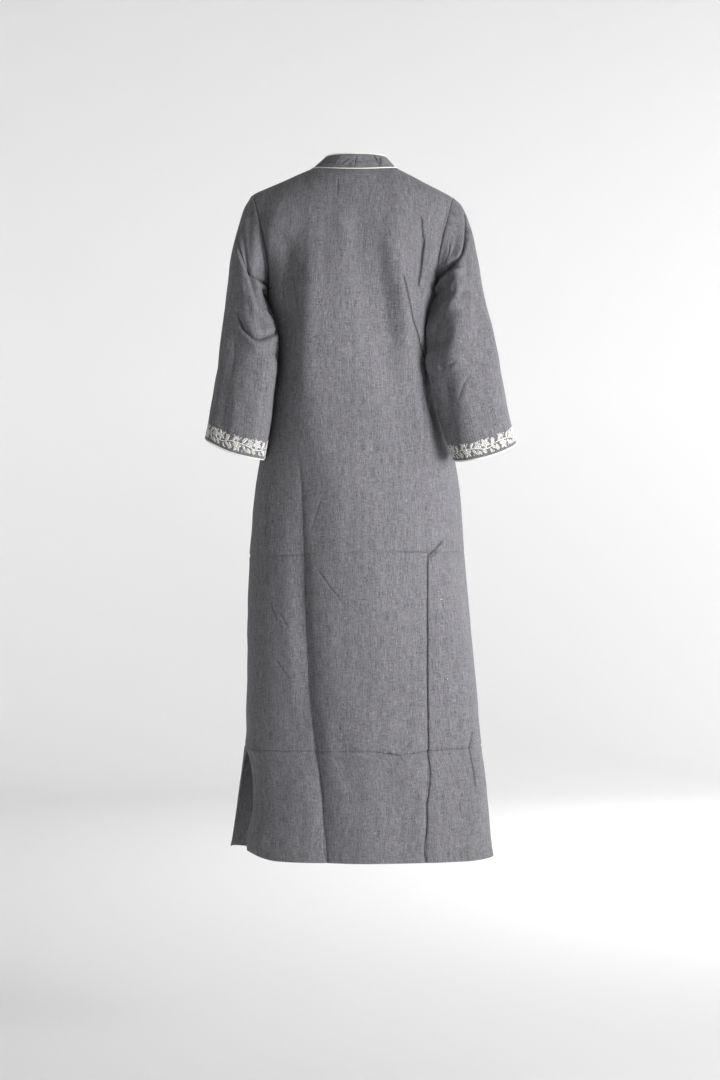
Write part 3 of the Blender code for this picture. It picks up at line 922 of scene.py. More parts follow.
SLEEVE_CRUMPLES = tables(
    SLEEVE_FOLD,
    left="""
75 0.26 94 0.51 -1.8 5.5
84 0.24 100 0.47 1.6 6
100 0.5 150 0.48 1.8 5.5
100 0.66 112 0.8 -0.7 4
60 0.72 70 0.92 -0.6 5
40 0.2 46 0.46 -0.8 6
230 0.3 280 0.2 -2 5
220 0.44 285 0.36 -1.6 5
262 0.3 255 0.52 1.4 6
250 0.62 262 0.86 -0.8 5
""",
    right="""
72 0.12 108 0.095 -1.2 3
92 0.27 96 0.38 -2.4 7
52 0.36 68 0.51 1.2 6
133 0.76 110 0.83 -0.7 3.4
120 0.55 140 0.72 -0.8 5
60 0.7 76 0.9 -0.6 5
225 0.28 275 0.18 -2 5
215 0.46 280 0.34 -1.6 5
258 0.34 262 0.56 1.4 6
""",
)

# %% Bent creases of the sleeves
# Each row has the depth, the width, the lip below it and the width of its sharp line, then after the colon the
# places that it bends at, each as turn and share. A sharp line is a groove in the shader, darkened at its
# bottom with painted shade.
SLEEVE_CREASES = {
    "left": """
-3.4 4.5 1.8 2.2: 30 0.165, 39 0.202, 74 0.24, 96 0.231, 122 0.163, 158 0.048
-5.2 5 0 5: 128 0.235, 146 0.18, 164 0.18, 174 0.24, 182 0.33
3 7.5 0 0: 80 0.3, 112 0.255, 140 0.175, 158 0.12
-4.5 5.2 2 2.6: 58 0.465, 66 0.495, 80 0.528, 103 0.556, 132 0.512, 168 0.45
-10 10 0 0: 138 0.15, 152 0.22, 158 0.31, 156 0.43
1.6 3.6 0 0: 78 0.54, 92 0.565, 106 0.595
-1.2 4 0 0: 46 0.56, 58 0.64, 60 0.74
-4 4.8 2 0: 320 0.175, 292 0.225, 262 0.215, 226 0.13, 206 0.06
-4.4 5.2 1.8 0: 306 0.46, 276 0.535, 246 0.53, 212 0.455
""",
    "right": """
-5.2 6 0 3.6: 30 0.08, 35 0.125, 51 0.183, 71 0.202, 109 0.135, 142 0.03
8 5.5 0 0: 62 0.29, 84 0.25, 119 0.163, 141 0.135, 172 0.165
-5.5 9 0 0: 66 0.4, 87 0.345, 122 0.3, 148 0.25
-3 11 0 0: 112 0.47, 118 0.56
1.1 4.2 0 0: 42 0.2, 50 0.3, 64 0.45, 66 0.56
-1.3 3.4 0.6 1.4: 84 0.06, 96 0.09, 112 0.075
-1.2 3.8 0.8 1.4: 100 0.64, 120 0.66, 146 0.635
-1 3.4 0.6 1.4: 82 0.7, 98 0.73, 112 0.79
-4.8 5.2 1.8 0: 326 0.15, 300 0.2, 266 0.19, 222 0.09
-4.4 5.2 1.8 0: 300 0.47, 268 0.545, 236 0.52, 208 0.44
""",
}
SLEEVE_RADIUS = 0.056
SLEEVE_LENGTH = 0.44
SLEEVE_COLUMNS = 160
SLEEVE_ROWS = 150
CLOSE_SHARES = [0.997, 0.994, 0.0025, 0.005]  # more rows beside the cuff's edge and the armhole
WAVE_START = {"left": 0.7, "right": 2.9}  # a different stretch of the low waves for each sleeve
LINE_SHARE = 0.44  # how deep a sharp line is, as a share of its crease, and its greatest depth
LINE_DEEPEST = -0.0023
MAP_SIZE = np.array([SLEEVE_RADIUS, SLEEVE_LENGTH])


def sleeve_paths(hand):
    """The bent creases of a sleeve, with their places on its flat map in metres."""
    for row in SLEEVE_CREASES[hand].strip().splitlines():
        sizes, places = row.split(":")
        turns, shares = np.array([place.split() for place in places.split(",")], float).T
        path = np.stack([np.radians(turns), shares], 1) * MAP_SIZE
        yield *(float(size + "e-3") for size in sizes.split()), path


print("bent creases:", {hand: len(list(sleeve_paths(hand))) for hand in HANDS})

# %% How a bent crease lifts the cloth


def crease_path(place, points, depth, width, lip):
    """How far a bent crease lifts each place: its depth along it, and the lip on the right of its way."""
    nearest, aside, along_path, done = (np.full(place.shape[:-1], value) for value in (9.0, 0.0, 0.0, 0.0))
    for start, end in zip(points[:-1], points[1:]):
        run = end - start
        along = np.clip((place - start) @ run / (run @ run), 0, 1)
        rest = place - start - along[..., None] * run
        away = np.linalg.norm(rest, axis=-1)
        side = np.sign(run[0] * rest[..., 1] - run[1] * rest[..., 0])
        closer = away < nearest
        nearest = np.where(closer, away, nearest)
        aside = np.where(closer, away * side, aside)
        along_path = np.where(closer, done + along * np.linalg.norm(run), along_path)
        done = done + np.linalg.norm(run)
    fade = ease(along_path / (0.2 * done)) * ease((done - along_path) / (0.2 * done))
    return fade * (depth * bell(aside, width) + lip * bell(aside - 2.0 * width, 1.4 * width))


def rounded(points, rounds):
    """The same path with its corners cut off, once for each round."""
    for _ in range(rounds):
        cut = np.stack([points[:-1] * 0.75 + points[1:] * 0.25, points[:-1] * 0.25 + points[1:] * 0.75], 1)
        points = np.concatenate([points[:1], cut.reshape(-1, 2)[1:-1], points[-1:]])
    return points


print("a path with 4 corners has", len(rounded(np.eye(4, 2), 2)), "when it is rounded twice")

# %% The sleeves' points and their sharp lines


def sleeve_points(hand):
    """The outer points of a sleeve with its folds, from the cuff up, and the cloth's metres at each."""
    turns = (np.arange(SLEEVE_COLUMNS) * 2 * math.pi / SLEEVE_COLUMNS)[:: SIGN[hand]]
    shares = np.sort(np.append(np.linspace(1, 0, SLEEVE_ROWS + 1), CLOSE_SHARES))[::-1]
    grid = np.array([sleeve_ring(hand, share, turns) for share in shares])
    turn, share = np.meshgrid(turns, shares)
    u, v = turn * SLEEVE_RADIUS, (1 - share) * SLEEVE_LENGTH
    place = np.stack([turn, share], -1) * MAP_SIZE
    lift = 0
    for rows in (SLEEVE_FOLDS[hand], SLEEVE_CRUMPLES[hand]):
        for row in zip(*rows.values()):
            ends = [np.array([math.radians(row[i]), row[i + 1]]) * MAP_SIZE for i in (0, 2)]
            lift = lift + fold_height(place, *ends, row[4], row[5])
    lift = lift * ease(share / 0.12)
    for depth, width, lip, line, path in sleeve_paths(hand):
        lift += ease(share / 0.05) * crease_path(place, rounded(path, 2), depth, width, lip)
    lift += ease(share / 0.04) * waves(u + WAVE_START[hand], v)
    lift += 0.0009 * bell(share - 0.016, 0.012)
    lift += stitched(v, u, CUFF_TURN, 0.0002)
    grid += outward(grid, closed=True) * lift[..., None]
    grid[-1] = armhole_edge(hand, turns, 1, SEAM_SINK)
    return grid, np.stack([u, v], -1)


def sleeve_lines(hand):
    """The sharp lines at the bottom of a sleeve's bent creases, as cloth_lines gives a panel's."""
    lines = []
    for depth, width, lip, line, path in sleeve_paths(hand):
        if line:
            spots = rounded(path, 1) * (1, -1) + (0, SLEEVE_LENGTH)
            sizes = (max(LINE_SHARE * depth, LINE_DEEPEST), line, 0.008)
            lines += [(start, end, *sizes) for start, end in zip(spots[:-1], spots[1:])]
    return lines


print("a sleeve has", SLEEVE_COLUMNS, "columns")

# %% Sleeves held clear of the panels
BESIDE_SLEEVES = (-0.560, -0.200)  # the heights between which the panels have a sleeve beside them
BELOW_ARMHOLE = -0.214


def hold_clear(hand, gap=0.0010, close=0.02):
    """Moves a sleeve's points below the armhole just clear of the panels, along the panels' normals."""
    for face in FACES:
        panel, normals = grids[face].reshape(-1, 3), outward(grids[face]).reshape(-1, 3)
        near = np.flatnonzero((panel[:, 2] > BESIDE_SLEEVES[0]) & (panel[:, 2] < BESIDE_SLEEVES[1]))
        tree = kdtree.KDTree(len(near))
        for place, i in enumerate(near):
            tree.insert(panel[i], place)
        tree.balance()
        for point in grids[hand].reshape(-1, 3):
            if point[2] < BELOW_ARMHOLE:
                _, place, away = tree.find(point)
                if away < close:
                    normal = normals[near[place]]
                    over = (point - panel[near[place]]) @ normal
                    point += normal * max(gap - over, 0.0)


for hand in HANDS:
    grids[hand], cloths[hand] = sleeve_points(hand)
    hold_clear(hand)
    print(f"{hand} sleeve: {grids[hand].shape[0]} x {grids[hand].shape[1]} points")

# %% [markdown]
# ## The collar
#
# The band is two layers with an interfacing, so it stands. It was folded flat with the tunic, which left
# short creases across it. Each one is a row of where it starts and ends: across the back, and above the seam.

# %% The collar's points
COLLAR_CREASES = table(
    "| x height to_x to_height depth width",
    """
1.5 4 -1.5 26 -1.2 1.6
-44.2 3 -42.5 27 -3.4 2
-48.5 4 -45.5 26 1.1 3
16 6 2 18 -1.2 1.6
26 8 12 22 -0.9 1.8
35 12 23 22 0.7 2.2
45 5 33 15 -0.7 1.8
-18 7 -8 10 -0.4 2
""",
)
COLLAR_ROWS = 12
COLLAR_COLUMNS = 220
FAR = 9.0  # a place that no crease reaches


def collar_lines(count):
    """The collar's seam and upper edge, the unit step from one up to the other, and the turn of each place."""
    notch = NECK_SLIT_HALF / NECK["right"]
    turns = np.linspace(notch, 2 * math.pi - notch, count) - math.pi / 2
    seam, top = neckline(turns), collar_top(turns)
    return seam, top, unit(top - seam), turns


def collar_points():
    """The outer points of the collar, from its seam up, and the cloth's metres at each."""
    seam, top, up, turns = collar_lines(COLLAR_COLUMNS)
    low = seam + up * (PIPING_RADIUS + SEAM_GAP)
    grid = low + (top - low) * np.linspace(0, 1, COLLAR_ROWS + 1)[:, None, None]
    height = np.linalg.norm(grid - seam, axis=2)
    u = gone(seam)[None] + np.zeros(height.shape)
    behind = np.sin(turns) > 0
    place = np.stack([np.where(behind, grid[..., 0], FAR), height], -1)
    front = np.stack([np.where(behind, FAR, grid[..., 0] * 1.3 + 0.02), height], -1)
    lift = folds_of(COLLAR_CREASES, place) + 0.6 * folds_of(COLLAR_CREASES, front) + 0.5 * waves(u, height)
    grid += outward(grid) * lift[..., None]
    return grid, np.stack([height, u], -1)


def collar_creases():
    """The sharp lines of the collar's creases at the back, as cloth_lines gives a panel's."""
    grid, cloth = grids["collar"][0], cloths["collar"][0]
    behind = np.flatnonzero(grid[:, 1] > 0)
    order = behind[np.argsort(grid[behind, 0])]
    lines = []
    for x, height, to_x, to_height, depth, width in zip(*COLLAR_CREASES.values()):
        if depth < 0:
            u, to_u = np.interp([x, to_x], grid[order, 0], cloth[order, 1])
            lines.append((np.array([height, u]), np.array([to_height, to_u]), 0.75 * depth, 0.0013, 0.005))
    return lines


grids["collar"], cloths["collar"] = collar_points()
print("collar:", grids["collar"].shape[:2], "points")

# %% [markdown]
# ## From points to linen
#
# Each grid becomes an open surface with a UV map that holds the cloth's own metres, so that one weave
# fits every piece at one scale. A Solidify modifier gives it the thickness of the linen. The turned edges
# already stand out from the grid, so they look as thick as they are.

# %% Objects and meshes


def placed(name, data):
    """A new object in the scene."""
    thing = bpy.data.objects.new(name, data)
    bpy.context.scene.collection.objects.link(thing)
    return thing


def mesh_of(name, points, faces, corners):
    """A smooth mesh with a UV map, cloth, that holds the cloth's metres at each face's corners."""
    mesh = bpy.data.meshes.new(name)
    mesh.from_pydata(points.tolist(), [], faces.tolist())
    layer = mesh.uv_layers.new(name="cloth")
    layer.data.foreach_set("uv", corners.astype(np.float32).ravel())
    mesh.shade_smooth()
    thing = placed(name, mesh)
    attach(thing, "root")
    return thing


def cells(values):
    """The four corners of every cell of a grid of values, anticlockwise."""
    return np.stack([values[:-1, :-1], values[:-1, 1:], values[1:, 1:], values[1:, :-1]], 2)


def joined(name, patches, material):
    """One mesh of many small grids: the points of each, its cloth's metres, and -1 to turn its faces over."""
    points, faces, corners, count = [], [], [], 0
    for laid, metres, turn in patches:
        index = np.arange(laid[..., 0].size).reshape(laid.shape[:2]) + count
        points.append(laid.reshape(-1, 3))
        faces.append(cells(index)[:, :, ::turn].reshape(-1, 4))
        corners.append(cells(metres)[:, :, ::turn].reshape(-1, 2))
        count += index.size
    thing = mesh_of(name, *map(np.concatenate, (points, faces, corners)))
    thing.data.materials.append(material)
    return thing


print("the corners of one cell:", cells(np.arange(4).reshape(2, 2)).ravel().tolist())

# %% A thin shell on a grid
LINEN_THICKNESS = 0.0008
COLLAR_THICKNESS = 0.0014


def shell(name, grid, cloth, closed, apart, thickness):
    """A thin wall on the inner side of a grid. apart parts its middle column at each row, as a slit."""
    rows, columns = grid.shape[:2]
    points = grid.reshape(-1, 3)
    index = np.arange(rows * columns).reshape(rows, columns)
    if closed:
        index = np.concatenate([index, index[:, :1]], axis=1)
        cloth = np.concatenate([cloth, cloth[:, -1:] + cloth[:, 1:2] - cloth[:, :1]], axis=1)
    faces = cells(index)
    if apart is not None:
        middle, split = columns // 2, np.flatnonzero(apart > 0)
        twin = index[:, middle].copy()
        twin[split] = len(points) + np.arange(len(split))
        points = np.concatenate([points, points[index[split, middle]]])
        points[twin[split], 0] -= apart[split]
        points[index[split, middle], 0] += apart[split]
        faces[:, middle - 1, 1] = twin[:-1]
        faces[:, middle - 1, 2] = twin[1:]
    thing = mesh_of(name, points, faces.reshape(-1, 4), cells(cloth).reshape(-1, 2))
    wall = thing.modifiers.new("linen", "SOLIDIFY")
    wall.thickness = thickness
    wall.offset = -1
    return thing


print("linen is", LINEN_THICKNESS * 1000, "mm thick")

# %% [markdown]
# ## The weave of the linen
#
# Linen yarn is uneven, and here dark and pale fibres are spun together, so the cloth looks heathered: pale
# and dark streaks a thread wide run down it, shorter ones run across, and now and then a slub stands out.
# Noise stretched along a thread gives such streaks. The finest level is the plain weave itself, over and
# under, which only shows from close by. The whole effect is one node group, used by every linen piece.

# %% Small helpers for shader nodes


def add_node(tree, kind, inputs=(), **settings):
    """A node with its settings, whose inputs are values or other nodes' outputs."""
    node = tree.nodes.new("ShaderNode" + kind)
    for name, value in settings.items():
        setattr(node, name, value)
    for key, value in dict(inputs).items():
        if isinstance(value, bpy.types.NodeSocket):
            tree.links.new(value, node.inputs[key])
        else:
            node.inputs[key].default_value = value
    return node


def maths(tree, operation, *values):
    """The output of a Math node."""
    return add_node(tree, "Math", dict(enumerate(values)), operation=operation).outputs[0]


def vector(tree, operation, *values):
    """The output of a Vector Math node."""
    return add_node(tree, "VectorMath", dict(enumerate(values)), operation=operation).outputs[0]


def dimmed(tree, colour, share):
    """A colour times a share."""
    return add_node(tree, "VectorMath", {0: colour, "Scale": share}, operation="SCALE").outputs[0]


def mixed(tree, share, dark, pale):
    """The mix of two colours."""
    return add_node(tree, "Mix", {0: share, 6: dark, 7: pale}, data_type="RGBA").outputs[2]


def ramp(tree, value, low, high, to_low=0.0, to_high=1.0):
    """A value's range mapped smoothly to another, and clamped."""
    inputs = enumerate((value, low, high, to_low, to_high))
    return add_node(tree, "MapRange", inputs, interpolation_type="SMOOTHSTEP").outputs[0]


def streaks(tree, place, along_u, along_v, detail=2.0, offset=0.0):
    """Noise with its own count of marks a metre along u and along v."""
    at = vector(tree, "MULTIPLY_ADD", place, (along_u, along_v, 0.0), (offset, offset * 1.7, offset * 0.3))
    return add_node(tree, "TexNoise", {"Vector": at, "Scale": 1.0, "Detail": detail}).outputs["Fac"]


def new_group(name, inputs, outputs):
    """A shader node group, its inputs and its outputs. A number makes a float input, and None a vector one."""
    tree = bpy.data.node_groups.new(name, "ShaderNodeTree")
    for label, value in inputs.items():
        kind = "NodeSocketVector" if value is None else "NodeSocketFloat"
        socket = tree.interface.new_socket(label, in_out="INPUT", socket_type=kind)
        if value is not None:
            socket.default_value = value
    for label in outputs:
        tree.interface.new_socket(label, in_out="OUTPUT", socket_type="NodeSocketFloat")
    return tree, tree.nodes.new("NodeGroupInput").outputs, tree.nodes.new("NodeGroupOutput").inputs


print("streaks, ramps and groups are ready")

# %% The linen weave group
THREAD = 0.00062  # from one thread to the next


def linen_weave():
    """Heather, slubs and plain weave on the cloth's own metres."""
    tree, given, out = new_group("linen weave", {"Cloth": None, "Contrast": 1.0}, ("Tone", "Height", "Slub"))
    cloth = given["Cloth"]
    down = streaks(tree, cloth, 860.0, 48.0, 2.0)
    across = streaks(tree, cloth, 62.0, 860.0, 2.0, 13.0)
    fine_down = streaks(tree, cloth, 1350.0, 240.0, 1.0, 7.0)
    fine_across = streaks(tree, cloth, 260.0, 1300.0, 1.0, 19.0)
    bands = streaks(tree, cloth, 150.0, 6.0, 2.0, 23.0)
    pale = ramp(tree, streaks(tree, cloth, 800.0, 110.0, 1.0, 31.0), 0.66, 0.77)
    pale_across = ramp(tree, streaks(tree, cloth, 130.0, 820.0, 1.0, 47.0), 0.68, 0.80)
    dark = ramp(tree, streaks(tree, cloth, 760.0, 170.0, 1.0, 61.0), 0.67, 0.79)
    tone = 0.5
    for value, weight in ((down, 1.45), (across, 0.80), (fine_down, 1.05), (fine_across, 0.80), (bands, 0.42)):
        tone = maths(tree, "MULTIPLY_ADD", maths(tree, "SUBTRACT", value, 0.5), weight, tone)
    for value, weight in ((pale, 0.80), (pale_across, 0.50), (dark, -0.50)):
        tone = maths(tree, "MULTIPLY_ADD", value, weight, tone)
    spread = maths(tree, "MULTIPLY", maths(tree, "SUBTRACT", tone, 0.5), given["Contrast"])
    tree.links.new(maths(tree, "ADD", spread, 0.5), out["Tone"])
    parts = add_node(tree, "SeparateXYZ", {0: cloth}).outputs
    warp, weft = (maths(tree, "SINE", maths(tree, "MULTIPLY", parts[i], math.pi / THREAD)) for i in (0, 1))
    swing = maths(tree, "MULTIPLY", warp, weft)
    round_warp, round_weft = maths(tree, "ABSOLUTE", warp), maths(tree, "ABSOLUTE", weft)
    over = maths(tree, "MULTIPLY_ADD", swing, 0.5, maths(tree, "MULTIPLY", round_warp, 0.4))
    plain = maths(tree, "MULTIPLY_ADD", round_weft, 0.3, over)
    slub = maths(tree, "MAXIMUM", pale, pale_across)
    rough = maths(tree, "MULTIPLY_ADD", down, 1.6, maths(tree, "MULTIPLY", across, 1.1))
    height = maths(tree, "MULTIPLY_ADD", slub, 0.9, maths(tree, "ADD", plain, rough))
    tree.links.new(height, out["Height"])
    tree.links.new(slub, out["Slub"])
    return tree


weave = linen_weave()
print("linen weave:", len(weave.nodes), "nodes")

# %% [markdown]
# ## The finishes
#
# The linen is matt with a little sheen from its loose fibres. The piping and the embroidery are ivory: the
# piping is a cotton strip sewn round a cord, and the embroidery is silky thread laid side by side, so its
# stitches catch the light across their length.

# %% A fresh material
SPECULAR = 0.25


def principled(name, roughness, sheen=0.0):
    """A new material, its node tree and its Principled shader with its plain values."""
    material = bpy.data.materials.new(name)
    material.use_nodes = True
    tree = material.node_tree
    shader = tree.nodes["Principled BSDF"]
    shader.inputs["Roughness"].default_value = roughness
    shader.inputs["Specular IOR Level"].default_value = SPECULAR
    shader.inputs["Sheen Weight"].default_value = sheen
    return material, tree, shader


# %% Creases finer than the grid


def crease_line():
    """A groove along one line: Middle, Along and Aside give its place, half its length and its width."""
    inputs = dict.fromkeys(("Cloth", "Middle", "Along", "Aside"))
    inputs |= dict.fromkeys(("Half", "Soft", "Width", "Depth"), 1.0)
    tree, given, out = new_group("crease line", inputs, ("Height",))
    rel = vector(tree, "SUBTRACT", given["Cloth"], given["Middle"])
    along, aside = (
        add_node(tree, "VectorMath", {0: rel, 1: given[way]}, operation="DOT_PRODUCT").outputs["Value"]
        for way in ("Along", "Aside")
    )
    past = maths(tree, "SUBTRACT", maths(tree, "ABSOLUTE", along), given["Half"])
    soft = maths(tree, "MULTIPLY", given["Soft"], 0.5)
    fade = ramp(tree, past, maths(tree, "MULTIPLY", soft, -1.0), soft, 1.0, 0.0)
    far = maths(tree, "POWER", maths(tree, "ABSOLUTE", maths(tree, "DIVIDE", aside, given["Width"])), 1.5)
    shape = maths(tree, "EXPONENT", maths(tree, "MULTIPLY", far, -1.0))
    height = maths(tree, "MULTIPLY", maths(tree, "MULTIPLY", shape, fade), given["Depth"])
    tree.links.new(height, out["Height"])
    return tree


groove = crease_line()
print("crease line:", len(groove.nodes), "nodes")

# %% Slate linen
SLATE_DARK = (0.041, 0.0400, 0.0435, 1.0)
SLATE_PALE = (0.265, 0.2595, 0.281, 1.0)


def grooves(tree, cloth, lines):
    """The height of all of a piece's crease lines, on cloth that is nudged about so that none is straight."""
    jitter = add_node(tree, "TexNoise", {"Vector": cloth, "Scale": 90.0, "Detail": 2.0}).outputs["Color"]
    shift = vector(tree, "MULTIPLY_ADD", jitter, (0.0022, 0.0022, 0.0), (-0.0011, -0.0011, 0.0))
    bent = vector(tree, "ADD", cloth, shift)
    total = 0.0
    for start, end, depth, width, soft in lines:
        run = end - start
        length = float(np.linalg.norm(run))
        along = run / length
        sizes = {"Half": length / 2, "Soft": soft, "Width": width, "Depth": depth}
        ways = {"Middle": (*((start + end) / 2), 0), "Along": (*along, 0), "Aside": (-along[1], along[0], 0)}
        height = add_node(tree, "Group", {"Cloth": bent, **ways, **sizes}, node_tree=groove).outputs[0]
        total = maths(tree, "ADD", height, total)
    return total


def slate_linen(name, lines, contrast=0.74):
    """The heathered slate linen, with sharp crease lines whose bottoms are darkened with painted shade."""
    material, tree, shader = principled(name, 0.82, sheen=0.06)
    cloth = add_node(tree, "UVMap", uv_map="cloth").outputs[0]
    woven = add_node(tree, "Group", {"Cloth": cloth, "Contrast": contrast}, node_tree=weave).outputs
    colour = mixed(tree, woven["Tone"], SLATE_DARK, SLATE_PALE)
    total = grooves(tree, cloth, lines)
    # Painted shade: the base colour falls to 0.40 of itself where the crease lines are 2.6 mm deep.
    colour = dimmed(tree, colour, ramp(tree, total, -0.0026, 0.0, 0.40, 1.0))
    creased = add_node(tree, "Bump", {"Strength": 1.0, "Distance": 1.0, "Height": total}).outputs[0]
    bump = {"Strength": 0.55, "Distance": 0.00022, "Height": woven["Height"], "Normal": creased}
    tree.links.new(colour, shader.inputs["Base Color"])
    tree.links.new(ramp(tree, woven["Slub"], 0.0, 1.0, 0.84, 0.74), shader.inputs["Roughness"])
    tree.links.new(add_node(tree, "Bump", bump).outputs[0], shader.inputs["Normal"])
    return material


finishes = {
    "back": slate_linen("slate linen, back", cloth_lines("back")),
    "front": slate_linen("slate linen, front", cloth_lines("front")),
    "left": slate_linen("slate linen, left sleeve", sleeve_lines("left")),
    "right": slate_linen("slate linen, right sleeve", sleeve_lines("right")),
    "collar": slate_linen("slate linen, interfaced", collar_creases(), 0.80),
}
print("finishes:", ", ".join(sorted(finish.name for finish in finishes.values())))

# %% Ivory and slate threads
IVORY = (0.90, 0.885, 0.83, 1.0)
# The darker end of a thread's tone: painted shade between the threads, and its uneven tone.
IVORY_SHADE = (0.54, 0.53, 0.49, 1.0)
THREAD_RELIEF = 0.00012


def laid_thread(name, threads, roughness, sheen, slant=0.0, middle=1.0, dark=IVORY_SHADE, pale=IVORY):
    """Thread laid side by side: threads a metre along v, leaning by slant, with painted shade darkening the
    grooves between threads, and darker at the middle.
    """
    material, tree, shader = principled(name, roughness, sheen)
    cloth = add_node(tree, "UVMap", uv_map="cloth").outputs[0]
    u, v = (add_node(tree, "SeparateXYZ", {0: cloth}).outputs[i] for i in (0, 1))
    aside = maths(tree, "ABSOLUTE", u)
    lean = maths(tree, "MULTIPLY_ADD", aside, slant, v)
    wave = maths(tree, "ABSOLUTE", maths(tree, "SINE", maths(tree, "MULTIPLY", lean, threads * math.pi)))
    uneven = streaks(tree, cloth, 300.0, 900.0, 2.0, 5.0)
    # Painted shade: the colour is palest on each thread's crown and darkest in the groove between threads,
    # with an uneven tone on top.
    tone = maths(tree, "MULTIPLY_ADD", wave, 0.45, maths(tree, "MULTIPLY", uneven, 0.9))
    vein = ramp(tree, aside, 0.0003, 0.0010, middle, 1.0)
    tree.links.new(dimmed(tree, mixed(tree, tone, dark, pale), vein), shader.inputs["Base Color"])
    bump = {"Strength": 0.7, "Distance": THREAD_RELIEF, "Height": wave}
    tree.links.new(add_node(tree, "Bump", bump).outputs[0], shader.inputs["Normal"])
    return material


satin = laid_thread("ivory satin stitch", 2600.0, 0.42, 0.15, slant=0.5, middle=0.36)
cotton = laid_thread("ivory cotton piping", 900.0, 0.68, 0.10)
SLATES = {"dark": (0.070, 0.070, 0.076, 1.0), "pale": (0.185, 0.185, 0.195, 1.0)}
slate_thread = laid_thread("slate sewing thread", 2200.0, 0.55, 0.0, **SLATES)
print("finishes:", satin.name, cotton.name, slate_thread.name)

# %% [markdown]
# ## The linen pieces
#
# Each piece takes the place of its plain solid and says how large it was cut. Cloth can't stretch, so the
# flat cut is measured on the piece itself: its width and length, and its area.

# %% Panels, sleeves and collar
PIECES = {
    "back": "back_panel",
    "front": "front_panel",
    "left": "sleeve_left",
    "right": "sleeve_right",
    "collar": "collar",
}
apart = open_slit(grids["front"])
for key, node in PIECES.items():
    grid, tube = grids[key], key in HANDS
    slit = apart if key == "front" else None
    thickness = COLLAR_THICKNESS if key == "collar" else LINEN_THICKNESS
    made = shell(f"{node}_linen", grid, cloths[key], tube, slit, thickness)
    made.data.materials.append(finishes[key])
    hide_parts(node)
    around = np.linalg.norm(np.diff(grid, axis=1), axis=2).sum(1).max()
    along = np.linalg.norm(np.diff(grid, axis=0), axis=2).sum(0).max()
    a, b, c, d = np.moveaxis(cells(grid), 2, 0)
    area = np.linalg.norm(np.cross(c - a, d - b), axis=2).sum() / 2
    if tube:
        area *= SLEEVE_COLUMNS / (SLEEVE_COLUMNS - 1)
    print(f"{made.name}: cut {around:.3f} x {along:.3f} m, {area:.3f} square metres")

# %% [markdown]
# ## Piping
#
# Piping is a cord in a strip of cotton, caught in a seam. It runs round the top of the collar, along the
# neck seam and round both cuffs. A ring of points is swept along each line, and its UV map holds metres
# round and along the cord.

# %% Swept cords
CORD_SIDES = 12


def swept_cord(node, points, aside, closed=False):
    """A round cord along some points; aside points away from the cloth at each, and sets the rings' turn."""
    ahead = np.roll(points, -1, 0) - np.roll(points, 1, 0) if closed else np.gradient(points, axis=0)
    ahead = unit(ahead)
    aside = unit(aside - (aside * ahead).sum(1)[:, None] * ahead)
    over = np.cross(ahead, aside)
    turns = np.arange(CORD_SIDES + 1) * 2 * math.pi / CORD_SIDES
    ring = np.cos(turns)[:, None, None] * aside + np.sin(turns)[:, None, None] * over
    grid = (points + PIPING_RADIUS * ring).transpose(1, 0, 2)[:, :-1]
    metres = np.stack(np.meshgrid(turns * PIPING_RADIUS, gone(points)), -1)
    index = np.arange(len(points) * CORD_SIDES).reshape(len(points), CORD_SIDES)
    index = np.concatenate([index, index[:, :1]], axis=1)
    if closed:
        index = np.concatenate([index, index[:1]])
        metres = np.concatenate([metres, metres[-1:] + metres[1:2] - metres[:1]])
    faces, corners = cells(index)[:, :, ::-1], cells(metres)[:, :, ::-1]
    cord = mesh_of(f"{node}_ivory", grid.reshape(-1, 3), faces.reshape(-1, 4), corners.reshape(-1, 2))
    if not closed:
        form = bmesh.new()
        form.from_mesh(cord.data)
        bmesh.ops.holes_fill(form, edges=form.edges)
        form.to_mesh(cord.data)
        form.free()
    cord.data.materials.append(cotton)
    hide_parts(node)


# %% The four lines of piping
TOP_SINK = 0.0006  # how far the upper piping sits in from the collar's outer side
seam, top, up, turns = collar_lines(260)
outwards = unit(seam * (1, 1, 0))
lean = PIPING_RADIUS + SEAM_GAP
swept_cord("collar_seam_piping", seam, outwards)
swept_cord("collar_top_piping", top + up * lean - outwards * TOP_SINK, outwards)
for hand in HANDS:
    edge, normals = grids[hand][0], outward(grids[hand], closed=True)[0]
    line = edge + unit(edge - grids[hand][1]) * lean - normals * LINEN_THICKNESS / 2
    swept_cord(f"cuff_piping_{hand}", line, normals, closed=True)
print("piping round the neck:", round(float(steps(seam).sum()), 3), "m")

# %% [markdown]
# ## The border of leaves
#
# A running vine goes round each cuff: a wavy stem, pairs of almond leaves, a small flower, a fan of leaves
# and curled tendrils round a dot. Everything is padded satin stitch, so each leaf is a low crowned patch.
# The border is drawn flat, in millimetres along the cuff and above its edge, and then laid on the sleeve.

